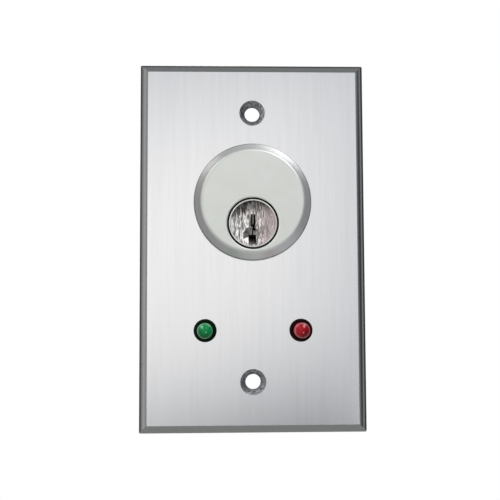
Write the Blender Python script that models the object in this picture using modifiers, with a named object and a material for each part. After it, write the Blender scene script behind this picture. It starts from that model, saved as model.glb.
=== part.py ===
"""Selector key switch: a mortise cylinder, two indicator lamps and a snap switch on a wall plate.

Run it with blender --background --python part.py. Lengths are in metres, written as
millimetres times MM. +X is right, +Z is up, and the plate faces -Y with its back on Y = 0.
"""

import math

import bmesh
import bpy
from mathutils import Matrix, Vector

MM = 0.001

# Wall plate
PLATE_WIDTH = 69.85 * MM
PLATE_HEIGHT = 114.3 * MM
PLATE_THICK = 3.175 * MM
PLATE_BEVEL = 2.45 * MM
PLATE_BEVEL_DEPTH = 1.9 * MM
SCREW_SPACING = 83.34 * MM
SCREW_HOLE = 4.7 * MM
COUNTERSINK = 7.9 * MM
COUNTERSINK_ANGLE = math.radians(82)

# Mortise cylinder, along Y
CYL_Z = 13.7 * MM
HEAD_BASE = 36.4 * MM
HEAD_FACE = 31.8 * MM
HEAD_HEIGHT = 3.55 * MM
HEAD_GAP = 0.08 * MM
BODY_DIA = 29.2 * MM
BODY_END = 25.4 * MM
BODY_HOLE = 29.7 * MM
FACE_Y = -PLATE_THICK - HEAD_GAP - HEAD_HEIGHT

# Plug, below the centre of the cylinder
PLUG_Z = CYL_Z - 6.9 * MM
PLUG_HEAD = 14.75 * MM
PLUG_HEAD_BORE = 15.7 * MM
PLUG_HEAD_DEPTH = 2.6 * MM
PLUG_DIA = 12.7 * MM
PLUG_BORE = 12.95 * MM
PLUG_END = 26.3 * MM
HEAD_CLEARANCE = 0.3 * MM
KEYWAY_LEFT = [-1.4 * MM, -0.7 * MM, -0.35 * MM]
KEYWAY_RIGHT = [0.05 * MM, 0.3 * MM, 0.75 * MM, 0.95 * MM]
KEYWAY_LEVELS = [2.7 * MM, -0.5 * MM, -1.3 * MM, -2.3 * MM, -3.5 * MM, -6.4 * MM]
SCOOP_RADIUS = 2.9 * MM
SCOOP_DEPTH = 1.5 * MM
SCOOP_X = -0.5 * MM
SCOOP_Z = PLUG_Z - 3.9 * MM
CAM_SCREW_X = 4.2 * MM

# Pin stacks
PIN_COUNT = 5
FIRST_PIN_Y = 1.6 * MM
PIN_SPACING = 3.97 * MM
CHAMBER_DIA = 3.1 * MM
PIN_DIA = 2.86 * MM
KEY_PIN_LENGTHS = [5.2 * MM, 4.4 * MM, 6.0 * MM, 4.8 * MM, 5.6 * MM]
DRIVER_LENGTH = 5.5 * MM
KEY_PIN_TOP = PLUG_Z + 6.1 * MM
DRIVER_BOTTOM = PLUG_Z + 6.55 * MM
CHAMBER_FLOOR = PLUG_Z - 1.0 * MM
COVER_SLOT_FLOOR = 26.9 * MM
COVER_THICK = 1.0 * MM
COVER_SLOT_HALF_WIDTH = 2 * MM
COVER_SLOT_OVERRUN = 2.2 * MM
SPRING_WIRE = 0.36 * MM
SPRING_TURNS = 5
TURN_POINTS = 8

# Cam and the roller that follows it
CAM_THICK = 2.4 * MM
CAM_Y = PLUG_END + 0.05 * MM + CAM_THICK / 2
CAM_HUB = 7.4 * MM
PLUG_TURN = math.radians(90)
LEVER_PIVOT = Vector((-15.6 * MM, -13.1 * MM))
ROLLER_START = Vector((3.2 * MM, -7.4 * MM))
ROLLER_DIA = 4.8 * MM
ROLLER_WIDTH = 3.4 * MM
ROLLER_BORE = 1.3 * MM
LEVER_RATIO = 0.1
LEVER_THICK = 0.5 * MM
LEVER_HALF_WIDTH = 2.4 * MM
LEVER_CURL = 1.0 * MM
LEVER_EAR = 1.2 * MM
LEVER_PIN_DIA = 1.0 * MM
LEVER_PIN_BORE = 1.15 * MM
CAM_GAP = 0.1 * MM
CAM_STEPS = 16

# Bracket behind the plate
SHEET = 1.5 * MM
BRACKET_HALF_WIDTH = 20 * MM
BRACKET_TOP = 31 * MM
SHELF_Z = -10.8 * MM
FLANGE_Y = 22.4 * MM
FLANGE_BOTTOM = -31 * MM
BRACKET_Y = 0.1 * MM
RING_DIA = 36 * MM
RING_THICK = 5 * MM
SPANNER_SLOTS = 6

# Snap switch, its thickness along Y
CASE_CENTRE_X = -4 * MM
CASE_LENGTH = 27.8 * MM
CASE_TOP = -14.2 * MM
CASE_HEIGHT = 15.9 * MM
CASE_Y = FLANGE_Y + 0.1 * MM
CASE_DEPTH = 8.0 * MM
COVER_DEPTH = 2.2 * MM
CASE_WALL = 1.5 * MM
CASE_BOSS_DIA = 5.4 * MM
CASE_EAR = 1.6 * MM
COVER_GAP = 0.06 * MM
CASE_SCREW_DIA = 3.0 * MM
NUT_THICK = 2.2 * MM
NUT_CORNERS = 5.6 * MM
SCREW_CENTRES = [(-14.9 * MM, -27.3 * MM), (7.1 * MM, -17.1 * MM)]
PLUNGER_X = LEVER_PIVOT.x + 7.1 * MM
PLUNGER_DIA = 2.7 * MM
PLUNGER_HOLE = 3.0 * MM
PLUNGER_FLANGE = 3.8 * MM
MECHANISM_Y = CASE_Y + 5.2 * MM
TERMINAL_XS = {"common_terminal": -8.6 * MM, "no_terminal": -1.6 * MM, "nc_terminal": 5.4 * MM}
TAB_WIDTH = 4.7 * MM
TAB_THICK = 0.5 * MM
TAB_REACH = 6.4 * MM
BLADE_PIVOT_X = -9.8 * MM
BLADE_TIP_X = 1.6 * MM
BLADE_Z = CASE_TOP - 4.3 * MM
BLADE_THICK = 0.3 * MM
BLADE_WIDTH = 3.2 * MM

# Indicator lamps
LAMP_X = 14.7 * MM
LAMP_Z = -25.9 * MM
LAMP_HOLE = 6.35 * MM
RING_OUTER = 7.05 * MM
LENS_DIA = 4.7 * MM
LENS_PROUD = 7.0 * MM
LAMP_FLANGE = 2.85 * MM
HOLDER_END = 5.5 * MM
RETAINER_DIA = 9.2 * MM
LEAD_WIRE = 0.5 * MM
LEAD_PITCH = 2.54 * MM
LEAD_END = 17 * MM

ROUND = 48
SMALL_ROUND = 24
PIN_ROUND = 12
TOWARDS_FRONT = Matrix.Rotation(math.radians(90), 4, "X")
TOWARDS_BACK = Matrix.Rotation(math.radians(-90), 4, "X")
UPWARDS = Matrix()

METALS = {
    "brushed_aluminium": ((0.78, 0.79, 0.80), 0.35),
    "satin_zinc": ((0.74, 0.75, 0.72), 0.45),
    "nickel": ((0.62, 0.60, 0.58), 0.22),
    "brass": ((0.72, 0.55, 0.25), 0.30),
    "steel": ((0.60, 0.61, 0.62), 0.35),
    "zinc_plated": ((0.66, 0.68, 0.70), 0.38),
    "tinned_copper": ((0.70, 0.68, 0.64), 0.30),
    "silver_contact": ((0.80, 0.78, 0.72), 0.25),
}
PLASTICS = {
    "black_plastic": ((0.02, 0.02, 0.02), 0.40),
    "grey_case": ((0.06, 0.06, 0.065), 0.50),
    "red_plunger": ((0.45, 0.05, 0.04), 0.35),
    "green_lens": ((0.03, 0.35, 0.10), 0.15),
    "red_lens": ((0.50, 0.02, 0.03), 0.15),
    "white_nylon": ((0.85, 0.85, 0.82), 0.45),
}


def clear_scene():
    for obj in list(bpy.data.objects):
        bpy.data.objects.remove(obj, do_unlink=True)


def collection(name, hidden=False):
    made = bpy.data.collections.new(name)
    made.hide_render = hidden
    bpy.context.scene.collection.children.link(made)
    return made


def material(name):
    """The named material, made on first use."""
    found = bpy.data.materials.get(name)
    if found:
        return found
    colour, roughness = METALS.get(name) or PLASTICS[name]
    made = bpy.data.materials.new(name)
    made.use_nodes = True
    shader = made.node_tree.nodes["Principled BSDF"]
    shader.inputs["Base Color"].default_value = (*colour, 1)
    shader.inputs["Roughness"].default_value = roughness
    shader.inputs["Metallic"].default_value = 1.0 if name in METALS else 0.0
    return made


def add(name, mesh, slot=None, matrix=None):
    """An object with this mesh: a part when it has a slot, otherwise a cutter."""
    obj = bpy.data.objects.new(name, mesh)
    obj.matrix_world = matrix or Matrix()
    if slot:
        mesh.materials.append(material(slot))
        PARTS.objects.link(obj)
    else:
        obj.hide_render = True
        obj.display_type = "WIRE"
        CUTTERS.objects.link(obj)
    return obj


def mesh_of(name, build):
    """A mesh filled by build(bm)."""
    bm = bmesh.new()
    build(bm)
    mesh = bpy.data.meshes.new(name)
    bm.to_mesh(mesh)
    bm.free()
    return mesh


def block(name, low, high, slot=None, bevel=0):
    """A box between two corners."""
    low = Vector(low)
    high = Vector(high)
    size = high - low

    def build(bm):
        bmesh.ops.create_cube(bm, size=1, matrix=Matrix.Diagonal((*size, 1)))

    obj = add(name, mesh_of(name, build), slot, Matrix.Translation((low + high) / 2))
    if bevel:
        soften(obj, bevel)
    return obj


def soften(obj, width, segments=1):
    edge = obj.modifiers.new("edge", "BEVEL")
    edge.width = width
    edge.segments = segments
    edge.limit_method = "ANGLE"


def rod(name, start, end, diameter, slot=None, sides=SMALL_ROUND, end_diameter=None):
    """A cylinder or cone from one point to another."""
    start = Vector(start)
    end = Vector(end)
    run = end - start
    last = diameter if end_diameter is None else end_diameter

    def build(bm):
        bmesh.ops.create_cone(
            bm,
            cap_ends=True,
            segments=sides,
            radius1=diameter / 2,
            radius2=last / 2,
            depth=run.length,
        )

    turn = Vector((0, 0, 1)).rotation_difference(run).to_matrix().to_4x4()
    obj = add(name, mesh_of(name, build), slot, Matrix.Translation((start + end) / 2) @ turn)
    smooth(obj)
    return obj


def rod_along_y(name, x, z, low, high, diameter, slot=None, sides=SMALL_ROUND):
    """A cylinder along Y, between two depths."""
    return rod(name, (x, low, z), (x, high, z), diameter, slot, sides)


def smooth(obj):
    obj.data.shade_smooth()
    obj.data.set_sharp_from_angle(angle=math.radians(35))


def turned(name, profile, centre, slot=None, sides=ROUND, axis=TOWARDS_BACK):
    """A turned solid. Its profile is (radius, height) pairs, from top to bottom down its outer side."""
    ring = profile[0] == profile[-1]

    def build(bm):
        points = [bm.verts.new((radius, 0, height)) for radius, height in profile[: -1 if ring else None]]
        for upper, lower in zip(points, points[1:] + points[:1] if ring else points[1:]):
            bm.edges.new((upper, lower))

    obj = add(name, mesh_of(name, build), slot, Matrix.Translation(centre) @ axis)
    screw = obj.modifiers.new("turn", "SCREW")
    screw.steps = sides
    screw.render_steps = sides
    screw.use_merge_vertices = True
    screw.merge_threshold = 0.00001
    screw.use_smooth_shade = False
    return obj


def outline(name, points, y_low, y_high, slot=None, matrix=None):
    """A flat plate with this (x, z) outline, between two depths, as a mesh."""
    curve = bpy.data.curves.new(name, "CURVE")
    curve.dimensions = "2D"
    curve.fill_mode = "BOTH"
    curve.extrude = (y_high - y_low) / 2
    spline = curve.splines.new("POLY")
    spline.points.add(len(points) - 1)
    for point, (x, z) in zip(spline.points, points):
        point.co = (x, z, 0, 1)
    spline.use_cyclic_u = True
    stand = Matrix.Translation((0, (y_low + y_high) / 2, 0)) @ Matrix.Rotation(math.radians(90), 4, "X")
    return solid_of_curve(name, curve, slot, (matrix or Matrix()) @ stand)


def solid_of_curve(name, curve, slot, matrix):
    """A curve made a closed mesh object."""
    guide = bpy.data.objects.new(name + "_guide", curve)
    bpy.context.scene.collection.objects.link(guide)
    graph = bpy.context.evaluated_depsgraph_get()
    mesh = bpy.data.meshes.new_from_object(guide.evaluated_get(graph))
    bpy.data.objects.remove(guide, do_unlink=True)
    bm = bmesh.new()
    bm.from_mesh(mesh)
    bmesh.ops.remove_doubles(bm, verts=bm.verts, dist=0.000001)
    bmesh.ops.recalc_face_normals(bm, faces=bm.faces)
    bm.to_mesh(mesh)
    bm.free()
    return add(name, mesh, slot, matrix)


def wire(name, points, diameter, slot, resolution):
    """A round wire through these points, with filled ends."""
    curve = bpy.data.curves.new(name, "CURVE")
    curve.dimensions = "3D"
    curve.bevel_depth = diameter / 2
    curve.bevel_resolution = resolution
    curve.use_fill_caps = True
    spline = curve.splines.new("POLY")
    spline.points.add(len(points) - 1)
    for point, place in zip(spline.points, points):
        point.co = (*place, 1)
    obj = bpy.data.objects.new(name, curve)
    curve.materials.append(material(slot))
    PARTS.objects.link(obj)
    return obj


def cut(obj, *cutters):
    for cutter in cutters:
        hole = obj.modifiers.new(cutter.name, "BOOLEAN")
        hole.operation = "DIFFERENCE"
        hole.object = cutter
        hole.solver = "EXACT"


def join_shapes(obj, *others):
    """Unites hidden shapes with a part, so that they are one body."""
    for other in others:
        union = obj.modifiers.new(other.name, "BOOLEAN")
        union.operation = "UNION"
        union.object = other
        union.solver = "EXACT"


def on_axis(name, x, z, objects):
    """An empty on a joint's axis, with these objects as its children."""
    axis = bpy.data.objects.new(name, None)
    axis.location = (x, 0, z)
    PARTS.objects.link(axis)
    bpy.context.view_layer.update()
    for obj in objects:
        placed = obj.matrix_world.copy()
        obj.parent = axis
        obj.matrix_world = placed


def arc(centre, radius, start, end, steps):
    """Points (x, z) on an arc, its angles in degrees from +X towards +Z."""
    points = []
    for step in range(steps + 1):
        angle = math.radians(start + (end - start) * step / steps)
        points.append((centre[0] + radius * math.cos(angle), centre[1] + radius * math.sin(angle)))
    return points


def chord_scale(sides):
    """How much larger a faceted bore is drawn, so that its flats touch the true circle."""
    return 1 / math.cos(math.pi / sides)


# Wall plate


def faceplate():
    """The plate: its front edges bevelled, with a hole for each part and two screw holes."""
    half_w = PLATE_WIDTH / 2
    half_h = PLATE_HEIGHT / 2
    plate = block("faceplate", (-half_w, -PLATE_THICK, -half_h), (half_w, 0, half_h), "brushed_aluminium")
    bm = bmesh.new()
    bm.from_mesh(plate.data)
    face = min(bm.faces, key=lambda side: side.calc_center_median().y)
    inset = bmesh.ops.inset_region(bm, faces=[face], thickness=PLATE_BEVEL, use_even_offset=True)
    corners = {vert for made in inset["faces"] for vert in made.verts} - set(face.verts)
    for vert in corners:
        vert.co.y += PLATE_BEVEL_DEPTH
    bm.to_mesh(plate.data)
    bm.free()
    past = 3 * PLATE_THICK
    cut(plate, rod_along_y("cylinder_hole", 0, CYL_Z, -past, past, BODY_HOLE, sides=ROUND))
    for side in (-1, 1):
        x = side * LAMP_X
        cut(plate, rod_along_y(f"lamp_hole_{side}", x, LAMP_Z, -past, past, LAMP_HOLE))
        cut(plate, countersunk_cutter(f"screw_hole_{side}", side * SCREW_SPACING / 2))


def countersunk_cutter(name, z):
    """A through hole whose mouth on the plate's front is a cone."""
    slope = math.tan(COUNTERSINK_ANGLE / 2)
    over = 2 * MM
    mouth = COUNTERSINK / 2
    hole = SCREW_HOLE / 2
    depth = (mouth - hole) / slope
    top = PLATE_THICK + over
    profile = [
        (0, top),
        (mouth + over * slope, top),
        (hole, PLATE_THICK - depth),
        (hole, -over),
        (0, -over),
    ]
    return turned(name, profile, (0, 0, z), sides=SMALL_ROUND, axis=TOWARDS_FRONT)


# Mortise cylinder


def cylinder_shell():
    """The housing: a bevelled head and a round body, bored for the plug and its pins."""
    rim = 0.9 * MM
    edge = 0.25 * MM
    base = -PLATE_THICK - HEAD_GAP
    profile = [
        (0, -FACE_Y),
        (HEAD_FACE / 2 - edge, -FACE_Y),
        (HEAD_FACE / 2, -FACE_Y - 0.1 * MM),
        (HEAD_BASE / 2 - 0.1 * MM, -base + rim),
        (HEAD_BASE / 2, -base + rim - edge),
        (HEAD_BASE / 2, -base),
        (BODY_DIA / 2, -base),
        (BODY_DIA / 2, -BODY_END + 0.8 * MM),
        (BODY_DIA / 2 - 0.8 * MM, -BODY_END),
        (0, -BODY_END),
    ]
    shell = turned("cylinder_shell", profile, (0, 0, CYL_Z), "satin_zinc", sides=64, axis=TOWARDS_FRONT)
    before = FACE_Y - MM
    past = BODY_END + 2 * MM
    bore = rod_along_y("plug_bore", 0, PLUG_Z, before, past, PLUG_BORE * chord_scale(ROUND), sides=ROUND)
    floor = FACE_Y + PLUG_HEAD_DEPTH + HEAD_CLEARANCE
    counterbore = rod_along_y("head_bore", 0, PLUG_Z, before, floor, PLUG_HEAD_BORE, sides=ROUND)
    cut(shell, bore, counterbore)
    half = COVER_SLOT_HALF_WIDTH
    slot_start = pin_y(0) - COVER_SLOT_OVERRUN
    slot_end = pin_y(PIN_COUNT - 1) + COVER_SLOT_OVERRUN
    outside = CYL_Z + HEAD_BASE / 2
    cut(shell, block("cover_slot", (-half, slot_start, COVER_SLOT_FLOOR), (half, slot_end, outside)))
    for index in range(PIN_COUNT):
        y = pin_y(index)
        chamber = rod(f"chamber_{index + 1}", (0, y, PLUG_Z), (0, y, outside), CHAMBER_DIA, sides=PIN_ROUND)
        cut(shell, chamber)
    gap = 0.08 * MM
    block(
        "chamber_cover",
        (gap - half, slot_start + gap, COVER_SLOT_FLOOR + gap),
        (half - gap, slot_end - gap, COVER_SLOT_FLOOR + gap + COVER_THICK),
        "brass",
        bevel=0.15 * MM,
    )


def pin_y(index):
    return FIRST_PIN_Y + index * PIN_SPACING


def keyway_outline():
    """The keyway across the plug: two slots with a ward between, a neck, and a wide slot below."""
    wide_left, slot_left, ward_left = KEYWAY_LEFT
    neck_right, ward_right, slot_right, wide_right = KEYWAY_RIGHT
    top, ward_foot, step, foot, shoulder, bottom = [PLUG_Z + level for level in KEYWAY_LEVELS]
    return [
        (slot_left, top),
        (ward_left, top),
        (ward_left, ward_foot),
        (ward_right, ward_foot),
        (ward_right, top),
        (slot_right, top),
        (slot_right, foot),
        (neck_right, foot),
        (neck_right, shoulder),
        (wide_right, shoulder),
        (wide_right, bottom),
        (wide_left, bottom),
        (wide_left, shoulder),
        (ward_left, shoulder),
        (ward_left, step),
        (slot_left, step),
    ]


def cylinder_plug():
    """The turning core: a wider head, a body with pin holes, and the keyway through both."""
    head = PLUG_HEAD / 2
    head_back = FACE_Y + PLUG_HEAD_DEPTH
    edge = 0.35 * MM
    profile = [
        (0, -FACE_Y),
        (head - edge, -FACE_Y),
        (head, -FACE_Y - edge),
        (head, -head_back),
        (PLUG_DIA / 2, -head_back),
        (PLUG_DIA / 2, -PLUG_END),
        (0, -PLUG_END),
    ]
    plug = turned("cylinder_plug", profile, (0, 0, PLUG_Z), "nickel", axis=TOWARDS_FRONT)
    key_end = pin_y(PIN_COUNT - 1) + 2.4 * MM
    cut(plug, outline("keyway", keyway_outline(), FACE_Y - MM, key_end))
    over = 1 * MM
    mouth = 2 * SCOOP_RADIUS * (1 + over / SCOOP_DEPTH)
    above = (SCOOP_X, FACE_Y - over, SCOOP_Z)
    below = (SCOOP_X, FACE_Y + SCOOP_DEPTH, SCOOP_Z)
    cut(plug, rod("scoop", above, below, mouth, end_diameter=0.2 * MM))
    for index in range(PIN_COUNT):
        y = pin_y(index)
        top = PLUG_Z + 8 * MM
        hole = rod(f"pin_hole_{index + 1}", (0, y, CHAMBER_FLOOR), (0, y, top), CHAMBER_DIA, sides=PIN_ROUND)
        cut(plug, hole)
    for side in (-1, 1):
        x = side * CAM_SCREW_X
        low = PLUG_END - 5.3 * MM
        cut(plug, rod_along_y(f"cam_thread_{side}", x, PLUG_Z, low, PLUG_END + MM, 2.3 * MM, sides=16))
    return plug


def key_pin(index):
    """A pin in the plug, its lower end pointed, its top just under the shear line."""
    length = KEY_PIN_LENGTHS[index]
    radius = PIN_DIA / 2
    edge = 0.2 * MM
    profile = [
        (0, 0),
        (radius - edge, 0),
        (radius, -edge),
        (radius, 1.1 * MM - length),
        (0.5 * MM, -length),
        (0, -length),
    ]
    centre = (0, pin_y(index), KEY_PIN_TOP)
    return turned(f"key_pin_{index + 1}", profile, centre, "brass", sides=PIN_ROUND, axis=UPWARDS)


def driver_pin(index):
    """A pin in the housing, standing just above the shear line."""
    radius = PIN_DIA / 2
    edge = 0.2 * MM
    profile = [
        (0, DRIVER_LENGTH),
        (radius - edge, DRIVER_LENGTH),
        (radius, DRIVER_LENGTH - edge),
        (radius, edge),
        (radius - edge, 0),
        (0, 0),
    ]
    centre = (0, pin_y(index), DRIVER_BOTTOM)
    return turned(f"driver_pin_{index + 1}", profile, centre, "nickel", sides=PIN_ROUND, axis=UPWARDS)


def pin_spring(index):
    """A coil from the driver pin to the chamber cover."""
    radius = PIN_DIA / 2 - SPRING_WIRE
    low = DRIVER_BOTTOM + DRIVER_LENGTH + SPRING_WIRE / 2 + 0.1 * MM
    high = COVER_SLOT_FLOOR - SPRING_WIRE / 2 - 0.05 * MM
    count = SPRING_TURNS * TURN_POINTS
    points = []
    for step in range(count + 1):
        angle = math.tau * step / TURN_POINTS
        height = low + (high - low) * step / count
        points.append((radius * math.cos(angle), pin_y(index) + radius * math.sin(angle), height))
    wire(f"pin_spring_{index + 1}", points, SPRING_WIRE, "steel", resolution=0)


# Cam and lever


def turn_about_y(vector, angle):
    """A point (x, z) turned about +Y, which carries +Z towards +X."""
    return Vector(
        (
            vector.x * math.cos(angle) + vector.y * math.sin(angle),
            -vector.x * math.sin(angle) + vector.y * math.cos(angle),
        )
    )


def roller_in_cam(angle):
    """The roller's centre in the cam's own frame, once the plug has turned this far."""
    swung = LEVER_PIVOT + turn_about_y(ROLLER_START - LEVER_PIVOT, LEVER_RATIO * angle)
    return turn_about_y(swung - Vector((0, PLUG_Z)), -angle)


def cam_edge():
    """The working edge: the roller's path moved in by its radius and a small gap."""
    lead = math.radians(16)
    reach = ROLLER_DIA / 2 + CAM_GAP
    step = math.radians(0.1)
    points = []
    for index in range(CAM_STEPS + 1):
        angle = -lead + (PLUG_TURN + 2 * lead) * index / CAM_STEPS
        along = (roller_in_cam(angle + step) - roller_in_cam(angle - step)).normalized()
        inward = Vector((-along.y, along.x))
        here = roller_in_cam(angle)
        if inward.dot(here) > 0:
            inward = -inward
        points.append(here + inward * reach)
    return points


def cam():
    """A hub on the plug's end with a lobe that grows as it turns."""
    edge = cam_edge()
    start = math.degrees(math.atan2(edge[0].y, edge[0].x))
    end = math.degrees(math.atan2(edge[-1].y, edge[-1].x))
    points = [(x, z + PLUG_Z) for x, z in edge]
    points += arc((0, PLUG_Z), CAM_HUB, end + 25, start - 25 + 360, 20)
    low = CAM_Y - CAM_THICK / 2
    high = CAM_Y + CAM_THICK / 2
    made = outline("cam", points, low, high, "zinc_plated")
    parts = [made]
    for number, side in enumerate((-1, 1), 1):
        x = side * CAM_SCREW_X
        cut(made, rod_along_y(f"cam_hole_{number}", x, PLUG_Z, low - MM, high + MM, 2.8 * MM, sides=16))
        parts.append(machine_screw(f"cam_screw_{number}", x, PLUG_Z, high, 4.4 * MM, 2.1 * MM, 6 * MM))
    return parts


def machine_screw(name, x, z, seat, head, thread, length):
    """A round-headed slotted screw that enters towards -Y from its seat."""
    gap = 0.05 * MM
    thick = head * 0.36
    profile = [
        (0, thick),
        (head * 0.36, thick),
        (head / 2, thick * 0.45),
        (head / 2, 0),
        (thread / 2, 0),
        (thread / 2, -length),
        (0, -length),
    ]
    screw = turned(name, profile, (x, seat + gap, z), "zinc_plated", sides=PIN_ROUND + 4, axis=TOWARDS_BACK)
    half = head * 0.09
    slot_floor = seat + gap + thick * 0.5
    slot = block(f"{name}_slot", (x - head, slot_floor, z - half), (x + head, seat + head, z + half))
    cut(screw, slot)
    return screw


def switch_lever():
    """A strip with two ears that hold the roller and a curled end round its pivot pin."""
    thick = LEVER_THICK
    half_width = LEVER_HALF_WIDTH
    pivot = LEVER_PIVOT
    roller = ROLLER_START
    curl = LEVER_CURL
    strip_top = pivot.y + curl
    strip_low = strip_top - thick
    floor_z = roller.y - ROLLER_DIA / 2 - 0.35 * MM
    knee = PLUNGER_X + 2 * MM
    low_edge = [
        (pivot.x, strip_low),
        (knee, strip_low),
        (roller.x - 2.2 * MM, floor_z - thick),
        (roller.x + LEVER_EAR, floor_z - thick),
    ]
    high_edge = [
        (roller.x + LEVER_EAR, floor_z),
        (roller.x - 2.3 * MM, floor_z),
        (knee - 0.1 * MM, strip_top),
        (pivot.x, strip_top),
    ]
    y = MECHANISM_Y
    lever = outline("switch_lever", low_edge + high_edge, y - half_width, y + half_width, "steel")
    around_pin = rod_along_y("curl", pivot.x, pivot.y, y - half_width, y + half_width, 2 * curl)
    ear_low = floor_z - thick * 0.5
    ears = []
    for side in (-1, 1):
        inner = y + side * (half_width - thick)
        outer = y + side * half_width
        ear_points = [(roller.x - LEVER_EAR, ear_low), (roller.x + LEVER_EAR, ear_low)]
        ear_points += arc(roller, LEVER_EAR, 0, 180, 6)
        ears.append(outline(f"ear_{side}", ear_points, min(inner, outer), max(inner, outer)))
    join_shapes(lever, around_pin, *ears)
    bore = LEVER_PIN_BORE * chord_scale(16)
    reach = half_width + 2 * MM
    for bore_name, place in (("pivot_bore", pivot), ("pin_bore", roller)):
        cut(lever, rod_along_y(bore_name, place.x, place.y, y - reach, y + reach, bore, sides=16))
    return lever


def lever_parts():
    """The lever with its roller pin; the roller turns on its own axis."""
    y = MECHANISM_Y
    x, z = ROLLER_START
    lever = switch_lever()
    reach = LEVER_HALF_WIDTH + LEVER_THICK
    pin = rod_along_y("roller_pin", x, z, y - reach, y + reach, LEVER_PIN_DIA, "steel", sides=16)
    radius = ROLLER_DIA / 2
    half = ROLLER_WIDTH / 2
    edge = 0.3 * MM
    wheel_profile = [
        (radius - edge, half),
        (radius, half - edge),
        (radius, edge - half),
        (radius - edge, -half),
        (ROLLER_BORE / 2, -half),
        (ROLLER_BORE / 2, half),
        (radius - edge, half),
    ]
    wheel = turned("lever_roller", wheel_profile, (x, y, z), "white_nylon", sides=SMALL_ROUND)
    on_axis("roller_axis", x, z, [wheel])
    on_axis("lever_axis", *LEVER_PIVOT, [lever, pin])


# Snap switch


def case_screw_cutter(name, x, z):
    """The hole that a case screw passes through, from the bracket to the cover."""
    return rod_along_y(name, x, z, FLANGE_Y - 5 * MM, CASE_Y + 15 * MM, CASE_SCREW_DIA + 0.3 * MM, sides=16)


def switch_case():
    """A tray that opens to +Y, with ears for the lever's pivot on its top."""
    left = CASE_CENTRE_X - CASE_LENGTH / 2
    right = CASE_CENTRE_X + CASE_LENGTH / 2
    bottom = CASE_TOP - CASE_HEIGHT
    back = CASE_Y + CASE_DEPTH
    case = block("switch_case", (left, CASE_Y, bottom), (right, back, CASE_TOP), "grey_case")
    hollow_low = (left + CASE_WALL, CASE_Y + CASE_WALL, bottom + CASE_WALL)
    hollow_high = (right - CASE_WALL, back + MM, CASE_TOP - CASE_WALL)
    hollow = block("case_hollow", hollow_low, hollow_high)
    for number, (x, z) in enumerate(SCREW_CENTRES, 1):
        boss = rod(f"boss_{number}", (x, CASE_Y, z), (x, back + 3 * MM, z), CASE_BOSS_DIA, sides=16)
        cut(hollow, boss)
    cut(case, hollow)
    y = MECHANISM_Y
    ears = []
    for side in (-1, 1):
        inner = y + side * 2.6 * MM
        outer = y + side * 4.2 * MM
        points = [(LEVER_PIVOT.x + CASE_EAR, CASE_TOP - MM)]
        points += arc(LEVER_PIVOT, CASE_EAR, 0, 180, 8)
        points.append((LEVER_PIVOT.x - CASE_EAR, CASE_TOP - MM))
        low = max(min(inner, outer), CASE_Y)
        high = min(max(inner, outer), back)
        ears.append(outline(f"case_ear_{side}", points, low, high))
    join_shapes(case, *ears)
    pin_hole = rod_along_y("lever_pin_hole", *LEVER_PIVOT, CASE_Y - MM, back + MM, 1.1 * MM, sides=16)
    plunger_low = (PLUNGER_X, y, CASE_TOP - 2 * CASE_WALL)
    plunger_hole = rod("plunger_hole", plunger_low, (PLUNGER_X, y, CASE_TOP + MM), PLUNGER_HOLE)
    cut(case, pin_hole, plunger_hole)
    for name, x in TERMINAL_XS.items():
        slot_low = (x - TAB_WIDTH / 2 - 0.15 * MM, y - TAB_THICK / 2 - 0.1 * MM, bottom - MM)
        slot_high = (x + TAB_WIDTH / 2 + 0.15 * MM, y + TAB_THICK / 2 + 0.1 * MM, bottom + 3 * MM)
        cut(case, block(f"{name}_slot", slot_low, slot_high))
    for number, (x, z) in enumerate(SCREW_CENTRES, 1):
        cut(case, case_screw_cutter(f"case_screw_hole_{number}", x, z))


def switch_cover():
    """The lid that closes the tray."""
    left = CASE_CENTRE_X - CASE_LENGTH / 2
    right = CASE_CENTRE_X + CASE_LENGTH / 2
    bottom = CASE_TOP - CASE_HEIGHT
    front = CASE_Y + CASE_DEPTH + COVER_GAP
    top_corner = (right, front + COVER_DEPTH, CASE_TOP)
    cover = block("switch_cover", (left, front, bottom), top_corner, "grey_case")
    soften(cover, 0.4 * MM)
    for number, (x, z) in enumerate(SCREW_CENTRES, 1):
        cut(cover, case_screw_cutter(f"cover_screw_hole_{number}", x, z))


def switch_plunger():
    """The button that the lever presses, with a flange inside the case."""
    top = LEVER_PIVOT.y + LEVER_CURL - LEVER_THICK - 0.12 * MM
    under = CASE_TOP - CASE_WALL - 0.1 * MM
    radius = PLUNGER_DIA / 2
    flange = PLUNGER_FLANGE / 2
    profile = [
        (0, top),
        (radius - 0.45 * MM, top),
        (radius, top - 0.4 * MM),
        (radius, under),
        (flange, under),
        (flange, under - 0.8 * MM),
        (0, under - 1.1 * MM),
    ]
    centre = (PLUNGER_X, MECHANISM_Y, 0)
    turned("switch_plunger", profile, centre, "red_plunger", sides=16, axis=UPWARDS)


def terminal(name, x, inner_height):
    """A flat tab through the case's lower wall, with a hole for its wire."""
    bottom = CASE_TOP - CASE_HEIGHT
    y = MECHANISM_Y
    low = (x - TAB_WIDTH / 2, y - TAB_THICK / 2, bottom - TAB_REACH)
    high = (x + TAB_WIDTH / 2, y + TAB_THICK / 2, inner_height)
    tab = block(name, low, high, "brass")
    hole_z = bottom - 4.2 * MM
    cut(tab, rod(f"{name}_hole", (x, y - MM, hole_z), (x, y + MM, hole_z), 1.6 * MM, sides=16))
    return tab


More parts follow.
